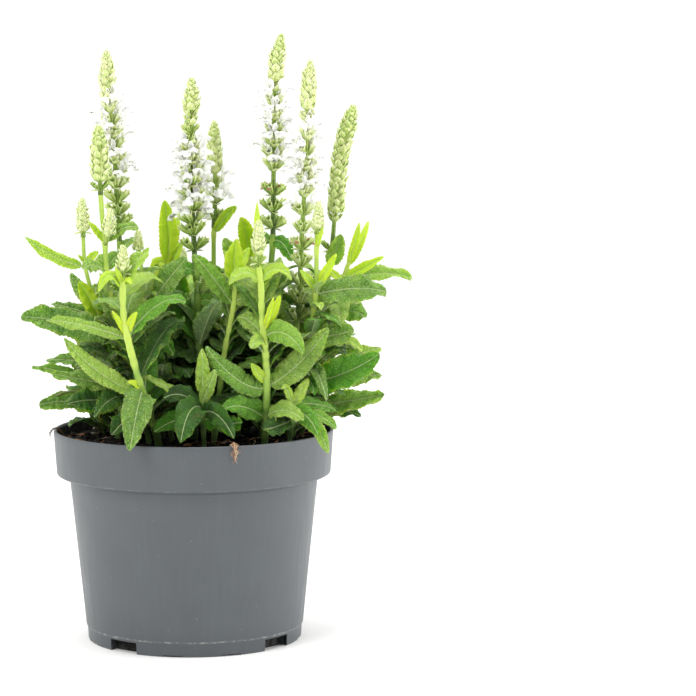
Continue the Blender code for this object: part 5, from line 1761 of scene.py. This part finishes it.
@dataclass
class NurseryPot:
    """Injection-moulded pot: rim band, tapered wall, raised floor, foot ring with drain notches."""

    steps: int = 176
    band_height: float = 26.6
    band_taper: float = 1.7
    wall_top: float = 75.3
    wall_foot: float = 66.3
    wall: float = 1.4
    foot_height: float = 8.6
    foot_inset: float = 0.9
    floor_under: float = 4.4
    floor_top: float = 6.0
    pad: float = 10.0
    notch_turn: float = radians(48.7)
    notch: Pair = (20.5, 7.1)
    slot_turn: float = radians(15.5)
    slot: Pair = (12.0, 1.0)
    rib_depth: float = 6.5

    def profile(self) -> list[Pair]:
        """Outline of the pot's wall and floor.

        Returns:
            Places (radius, height) from the floor inside, over the rim and down to the pad.
        """
        low = POT_HEIGHT - self.band_height
        band, top = RIM_RADIUS - self.band_taper, self.wall_top
        out, foot, pad = self.wall_foot, self.wall_foot - self.foot_inset, self.pad
        floor, under, step = self.floor_top, self.floor_under, self.foot_height
        inside = [(1.0, floor), (out - 5.6, floor), (out - 2.0, floor + 2.0), (top - self.wall, low - 2.5),
                  (band - self.wall, low + 1.8)]
        lip = [(RIM_RADIUS - inset, POT_HEIGHT - drop) for inset, drop in (
            (2.0, 2.0), (1.7, 0.5), (1.2, 0.0), (0.6, 0.0), (0.15, 0.35), (0.0, 1.0), (0.25, 4.0))]
        return [
            *inside, *lip, (band, low + 1.0), (band - 0.12, low + 0.3), (band - 0.5, low - 0.15),
            (band - 1.2, low - 0.55), (top + 1.6, low - 2.3), (top + 0.5, low - 2.9), (top + 0.05, low - 4.0),
            (out + 0.6, step + 7.0), (out, step + 0.9), (out - 0.15, step + 0.3), (foot + 0.35, step - 0.1),
            (foot + 0.1, step - 0.5), (foot - 0.35, 0.9), (foot - 0.5, 0.3), (foot - 0.9, 0.0),
            (foot - 2.0, 0.0), (foot - 2.4, 0.3), (foot - 2.8, under), (pad + 0.6, under),
            (pad, under - 0.5), (pad - 0.2, 0.3), (pad - 0.5, 0.0), (1.0, 0.0),
        ]

    def foot_gap(self, turn: float, size: Pair, cutters: bpy.types.Collection) -> None:
        """Add a box that cuts a gap through the foot ring.

        Args:
            turn: its direction in radians, from the front.
            size: its width and height.
            cutters: collection for the box.
        """
        bm = bmesh.new()
        bmesh.ops.create_cube(bm, size=MM)
        bmesh.ops.scale(bm, vec=(14.0, size[0], size[1] + 2.0), verts=bm.verts)
        shift = Matrix.Translation(((self.wall_foot - 0.8) * MM, 0.0, (size[1] / 2 - 1.0) * MM))
        bmesh.ops.transform(bm, matrix=Matrix.Rotation(turn - pi / 2, 4, "Z") @ shift, verts=bm.verts)
        mesh = bpy.data.meshes.new("foot_gap")
        bm.to_mesh(mesh)
        bm.free()
        box = bpy.data.objects.new("foot_gap", mesh)
        box.hide_render = True
        cutters.objects.link(box)

    def add_ribs(self, mesh: bpy.types.Mesh) -> None:
        """Add the short walls that run inwards at both sides of each notch, and the one behind it.

        Args:
            mesh: the pot's mesh.
        """
        bm = bmesh.new()
        bm.from_mesh(mesh)
        reach = self.wall_foot - self.foot_inset - 1.2
        for quarter in range(4):
            turn = Matrix.Rotation(self.notch_turn + quarter * pi / 2 - pi / 2, 4, "Z")
            for side in (-1, 1, 0):
                size = Vector((self.rib_depth, 1.3, self.notch[1] - 0.6))
                off = side * (self.notch[0] / 2 + 0.65)
                middle = Vector((reach - self.rib_depth / 2, off, size.z / 2 + 0.25))
                if not side:
                    size = Vector((1.2, self.notch[0] + 1.2, self.notch[1] - 0.7))
                    middle = Vector((reach - self.rib_depth + 0.9, 0.0, size.z / 2 + 0.3))
                matrix = turn @ Matrix.Translation(middle * MM) @ Matrix.Diagonal((*size * MM, 1.0))
                rib = bmesh.ops.create_cube(bm, size=1.0, matrix=matrix)
                if side:
                    edges = list({edge for vert in rib["verts"] for edge in vert.link_edges})
                    bmesh.ops.bevel(bm, geom=edges, offset=0.25 * MM, segments=2, affect="EDGES")
        bm.to_mesh(mesh)
        bm.free()

    def build(self, finish: Material) -> None:
        """Turn the pot, cut its foot and present it.

        Args:
            finish: its plastic.
        """
        angles = np.arange(self.steps) * tau / self.steps
        profile = self.profile()
        rings = np.array([[(r * cos(a), r * sin(a), z) for a in angles] for r, z in profile])
        draft = Draft()
        draft.add_rings(rings, 0)
        pot = draft.make("pot_shell", [finish])
        cutters = bpy.data.collections.new("foot_gaps")
        bpy.context.scene.collection.children.link(cutters)
        for quarter in range(4):
            middle = self.notch_turn - pi / 4 + quarter * pi / 2
            self.foot_gap(middle + pi / 4, self.notch, cutters)
            self.foot_gap(middle - self.slot_turn, self.slot, cutters)
            self.foot_gap(middle + self.slot_turn, self.slot, cutters)
        cut = pot.modifiers.new("foot_gaps", "BOOLEAN")
        cut.operation = "DIFFERENCE"
        cut.operand_type = "COLLECTION"
        cut.collection = cutters
        graph = bpy.context.evaluated_depsgraph_get()
        graph.update()
        mesh = bpy.data.meshes.new_from_object(pot.evaluated_get(graph))
        pot.modifiers.clear()
        pot.data = mesh
        for box in list(cutters.objects):
            bpy.data.objects.remove(box, do_unlink=True)
        bpy.data.collections.remove(cutters)
        self.add_ribs(mesh)
        # Soiling and painted shade darken the wall inside the band, and painted shade darkens what is under
        # the floor
        places = np.array([v.co for v in mesh.vertices]) / MM
        radius, height = np.hypot(places[:, 0], places[:, 1]), places[:, 2]
        stain_and_shade_mask = (radius < RIM_RADIUS - 1.9) & (height > POT_HEIGHT - self.band_height + 1)
        stain_and_shade_mask |= (radius < self.wall_foot - self.foot_inset - 5) & (height < self.foot_height)
        tones = np.outer(stain_and_shade_mask, [1.0, 0.0, 0.0, 0.0]) + np.array([0.0, 1.0, 0.5, 0.5])
        mesh.attributes["tone"].data.foreach_set("color", tones.astype(np.float32).ravel())
        mesh.shade_smooth()
        mesh.set_sharp_from_angle(angle=radians(32))
        present(pot, "pot", "pot")


@dataclass
class PottingSoil:
    """Moist potting mix: an uneven top of crumbs with bark, roots and white grit on it."""

    radius: float = 81.6
    relief: float = 1.5
    crumbs: int = 2300
    seed: int = 5

    def height(self, x: float, y: float) -> float:
        """Height of the soil's top.

        Args:
            x: place from left to right.
            y: place from front to back.

        Returns:
            The height there.
        """
        broad = noise.noise(Vector((x, y, 0.0)) * 0.045)
        fine = noise.fractal(Vector((x, y, 9.0)) * 0.22, 0.8, 2.0, 3)
        return SOIL_TOP + 0.8 + self.relief * broad + 0.9 * fine

    def surface(self, draft: Draft) -> None:
        """Add the body of the soil.

        Args:
            draft: the mesh.
        """
        sides = 132
        angles = np.arange(sides) * tau / sides
        lower = [(58.0, 6.6), (61.5, 8.8), (72.6, 98.5), (80.8, 104.5), (81.6, SOIL_TOP - 1.5)]
        upper = [self.radius - 1.0 - 1.7 * i for i in range(47)]
        rings = [[(r * cos(a), r * sin(a), z) for a in angles] for r, z in lower]
        for r in upper:
            rings.append([(r * cos(a), r * sin(a), self.height(r * cos(a), r * sin(a))) for a in angles])
        draft.add_rings(np.array(rings), 0, (0.1, 1.0, 0.5, 0.5))

    def scatter(self, draft: Draft) -> None:
        """Add crumbs, bark and grit, mostly small, as rough lumps.

        Args:
            draft: the mesh.
        """
        draw = Random(self.seed)
        bm = bmesh.new()
        bmesh.ops.create_icosphere(bm, subdivisions=1, radius=1.0)
        lump = np.array([v.co for v in bm.verts])
        faces = np.array([[v.index for v in f.verts] for f in bm.faces])
        bm.free()
        none = np.empty((0, 4), int)
        rough = np.random.default_rng(self.seed)
        for i in range(self.crumbs):
            r = self.radius * sqrt(draw.random())
            a = draw.uniform(0, tau)
            x, y = r * cos(a), r * sin(a)
            size = 0.5 + 1.5 * draw.random() ** 3
            r_max = self.radius - size
            if r > r_max:
                x, y = x * r_max / r, y * r_max / r
            kind = draw.random()
            shape = lump * rough.uniform(0.72, 1.25, lump.shape) * size
            if kind > 0.93:
                shape = shape * np.array([1.9, 0.8, 0.45])
            spin = Matrix.Rotation(draw.uniform(0, tau), 3, "Z")
            spin = spin @ Matrix.Rotation(draw.uniform(-0.7, 0.7), 3, "X")
            places = shape @ np.array(spin).T + np.array([x, y, self.height(x, y) + 0.35 * size])
            slot, tone = 0, draw.uniform(0.0, 0.55)
            if kind > 0.99:
                slot, tone = 1, draw.uniform(0.85, 1.0)
            elif kind > 0.93:
                slot, tone = 1, draw.uniform(0.1, 0.5)
            draft.add_solid(places, none, faces, slot, (tone, 1.0, 0.5, 0.5), (0.0, 0.0, 0.0))

    def fibre(self, draft: Draft, knots: Sequence[Vector], thick: float, tone: float) -> None:
        """Add one root or straw.

        Args:
            draft: the mesh.
            knots: places that it passes.
            thick: its radius at the thick end.
            tone: its tone, from dark to straw.
        """
        line = np.array(smooth(list(knots), 1.6))
        radii = thick * np.linspace(1.0, 0.35, len(line))
        draft.add_rings(tube(line, radii, 6), 1, (tone, 1.0, 0.5, 0.5))

    def litter(self, draft: Draft) -> None:
        """Add roots on the soil, and the tufts that hang over the rim at the front and at the left.

        Args:
            draft: the mesh.
        """
        draw = Random(self.seed + 1)
        spots = [(draw.uniform(-70, 70), draw.uniform(-70, 70), 6.0) for _ in range(46)]
        spots += [(-47 + draw.gauss(0, 5), -66 + draw.gauss(0, 3), 5.0) for _ in range(16)]
        spots += [(49 + draw.gauss(0, 5), -64 + draw.gauss(0, 3), 5.0) for _ in range(22)]
        for x, y, stray in spots:
            if hypot(x, y) > self.radius - 6:
                continue
            turn = draw.uniform(0, tau)
            knots = []
            for i in range(4):
                knots.append(Vector((x, y, self.height(x, y) + 0.5 + draw.uniform(0.0, 2.2) * (0 < i < 3))))
                turn += draw.uniform(-0.9, 0.9)
                step = draw.uniform(0.6, 1.3) * stray
                x, y = x + step * cos(turn), y + step * sin(turn)
                if hypot(x, y) > self.radius - 1:
                    x, y = x * 0.96, y * 0.96
            self.fibre(draft, knots, draw.uniform(0.16, 0.42), draw.choice((0.25, 0.45, 0.62, 0.75)))
        for i in range(11):
            drop = 10.0 * draw.random() ** 0.7
            turn = -1.297 + draw.gauss(0, 0.014 - 0.001 * drop)
            self.hang(draft, turn, drop, draw.uniform(0.42, 0.9), draw)
        for i in range(5):
            self.hang(draft, pi + 0.12 + draw.gauss(0, 0.05), draw.uniform(2, 6), 0.1, draw)

    def hang(self, draft: Draft, angle: float, drop: float, tone: float, draw: Random) -> None:
        """Add one thin root that hangs over the rim.

        Args:
            draft: the mesh.
            angle: where on the rim, in radians.
            drop: how far it hangs.
            tone: its tone.
            draw: chance.
        """
        knots = []
        for reach, z in ((-9, -6.5), (-3.5, 0.4), (0.3, 1.0), (1.1, -0.3 * drop), (1.6, -0.55 * drop),
                         (1.4, -0.8 * drop), (1.2 + 0.03 * drop, -drop)):
            turn = angle + draw.gauss(0, 0.012)
            r = RIM_RADIUS + reach + (draw.uniform(0.0, 1.8) if reach > 1 else 0.0)
            knots.append(Vector((r * cos(turn), r * sin(turn), POT_HEIGHT + z + draw.uniform(-0.8, 0.8))))
        self.fibre(draft, knots, draw.uniform(0.16, 0.36), tone)

    def build(self, peat: Material, litter: Material) -> None:
        """Build the soil with what lies on it.

        Args:
            peat: material of the mix.
            litter: material of bark, roots and grit.
        """
        draft = Draft()
        self.surface(draft)
        self.scatter(draft)
        self.litter(draft)
        present(draft.make("soil_mix", [peat, litter], 60.0), "soil", "soil")


@dataclass
class Studio:
    """Pale floor, soft lamps and the camera at the photograph's viewing angle."""

    eye: Triple = (0.0, -1.640, 0.349)
    yaw: float = radians(3.28)
    pitch: float = radians(6.0)
    focal: float = 2712.0
    frame_px: int = 696
    sensor: float = 36.0
    floor_sides: float = 9.0
    floor_front: float = 8.0
    floor_back: float = 2.2
    backdrop: float = 1.06
    room: float = 0.48
    ceiling: float = 0.8

    def camera(self) -> None:
        """Set up the camera."""
        data = bpy.data.cameras.new("camera")
        data.sensor_width = self.sensor
        data.lens = self.focal / self.frame_px * self.sensor
        data.clip_start, data.clip_end = 0.05, 50.0
        camera = bpy.data.objects.new("camera", data)
        camera.location = self.eye
        camera.rotation_euler = (pi / 2 - self.pitch, 0.0, -self.yaw)
        bpy.context.scene.collection.objects.link(camera)
        bpy.context.scene.camera = camera

    def lamp(self, name: str, place: Triple, size: Pair, power: float) -> None:
        """Add a soft lamp that looks at the plant.

        Args:
            name: its name.
            place: where it hangs, in metres.
            size: its width and height, in metres.
            power: its power, in watts.
        """
        data = bpy.data.lights.new(name, "AREA")
        data.shape, data.size, data.size_y, data.energy = "RECTANGLE", *size, power
        lamp = bpy.data.objects.new(name, data)
        lamp.location = place
        lamp.rotation_euler = (Vector((0.0, 0.0, 0.18)) - Vector(place)).to_track_quat("-Z", "Y").to_euler()
        bpy.context.scene.collection.objects.link(lamp)

    def build(self, paper: Material) -> None:
        """Build floor, light and camera.

        Args:
            paper: the floor's finish.
        """
        mesh = bpy.data.meshes.new("floor")
        side, front, back = self.floor_sides, self.floor_front, self.floor_back
        corners = [(-side, -front, 0), (side, -front, 0), (side, back, 0), (-side, back, 0)]
        mesh.from_pydata(corners, [], [(0, 1, 2, 3)])
        mesh.materials.append(paper)
        floor = bpy.data.objects.new("floor", mesh)
        bpy.context.scene.collection.objects.link(floor)
        self.sky()
        self.lamp("top", (0.0, 0.3, 3.0), (3.0, 3.0), 60.0)
        self.lamp("key", (-1.2, -1.3, 1.5), (1.0, 1.0), 24.0)
        self.lamp("fill", (1.5, -0.9, 0.9), (1.2, 1.2), 5.0)
        self.lamp("strip", (1.7, -0.1, 0.5), (0.22, 1.4), 13.0)
        bpy.context.scene.view_settings.view_transform = "Standard"
        self.camera()

    def sky(self) -> None:
        """Light the world: a white backdrop behind and above, and a dim room on the camera's side."""
        world = bpy.data.worlds.new("studio")
        world.use_nodes = True
        tree = world.node_tree
        add = partial(add_node, tree)
        way = add("SeparateXYZ", [add("TexCoord").outputs["Generated"]])
        behind = add("MapRange", [way.outputs[1], -0.75, 0.05, self.room, self.backdrop])
        above = add("MapRange", [way.outputs[2], 0.2, 0.9, self.room, self.ceiling])
        strength = add("MAXIMUM", [behind, above])
        feed(tree, tree.nodes["Background"], {"Color": "#FFFFFF", "Strength": strength})
        bpy.context.scene.world = world


def main() -> None:
    """Load the frame and build every piece."""
    logging.basicConfig(level=logging.INFO, format="%(message)s")
    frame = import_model()
    plastic = Polypropylene("injection_moulded_polypropylene", 0.42, 1.49).make()
    peat = PeatMix("moist_peat_mix", 0.9, 1.4).make()
    litter = DryLitter("dry_root_and_bark", 0.85, 1.4).make()
    leaf = LeafTissue("living_sage_leaf", 0.52).make()
    stem = StemTissue("living_sage_stem", 0.5).make()
    husk = HuskTissue("living_sage_husk", 0.6).make()
    petal = PetalTissue("fresh_white_petal", 0.55, 1.4).make()
    withered = PetalTissue("withered_petal", 0.8, 1.4, "#5A3A22", "#A8654F").make()
    paper = BackdropPaper("matt_paper", 0.95).make()
    NurseryPot().build(plastic)
    PottingSoil().build(peat, litter)
    clear = [place for head in HEADS for place in head.axis()[::3] if place.z < HEAD_FEET]
    clear += [STEMS[name].place(height) for name, height in product(OPEN_STEMS, OPEN_SPAN)]
    foliage = Foliage(frame["nodes"], STEMS, clear)
    foliage.gather()
    foliage.fill()
    foliage.build(stem, leaf, SIDE_BUD, husk)
    for head in HEADS:
        head.build([stem, husk, petal, withered])
    Studio().build(paper)


if __name__ == "__main__":
    main()
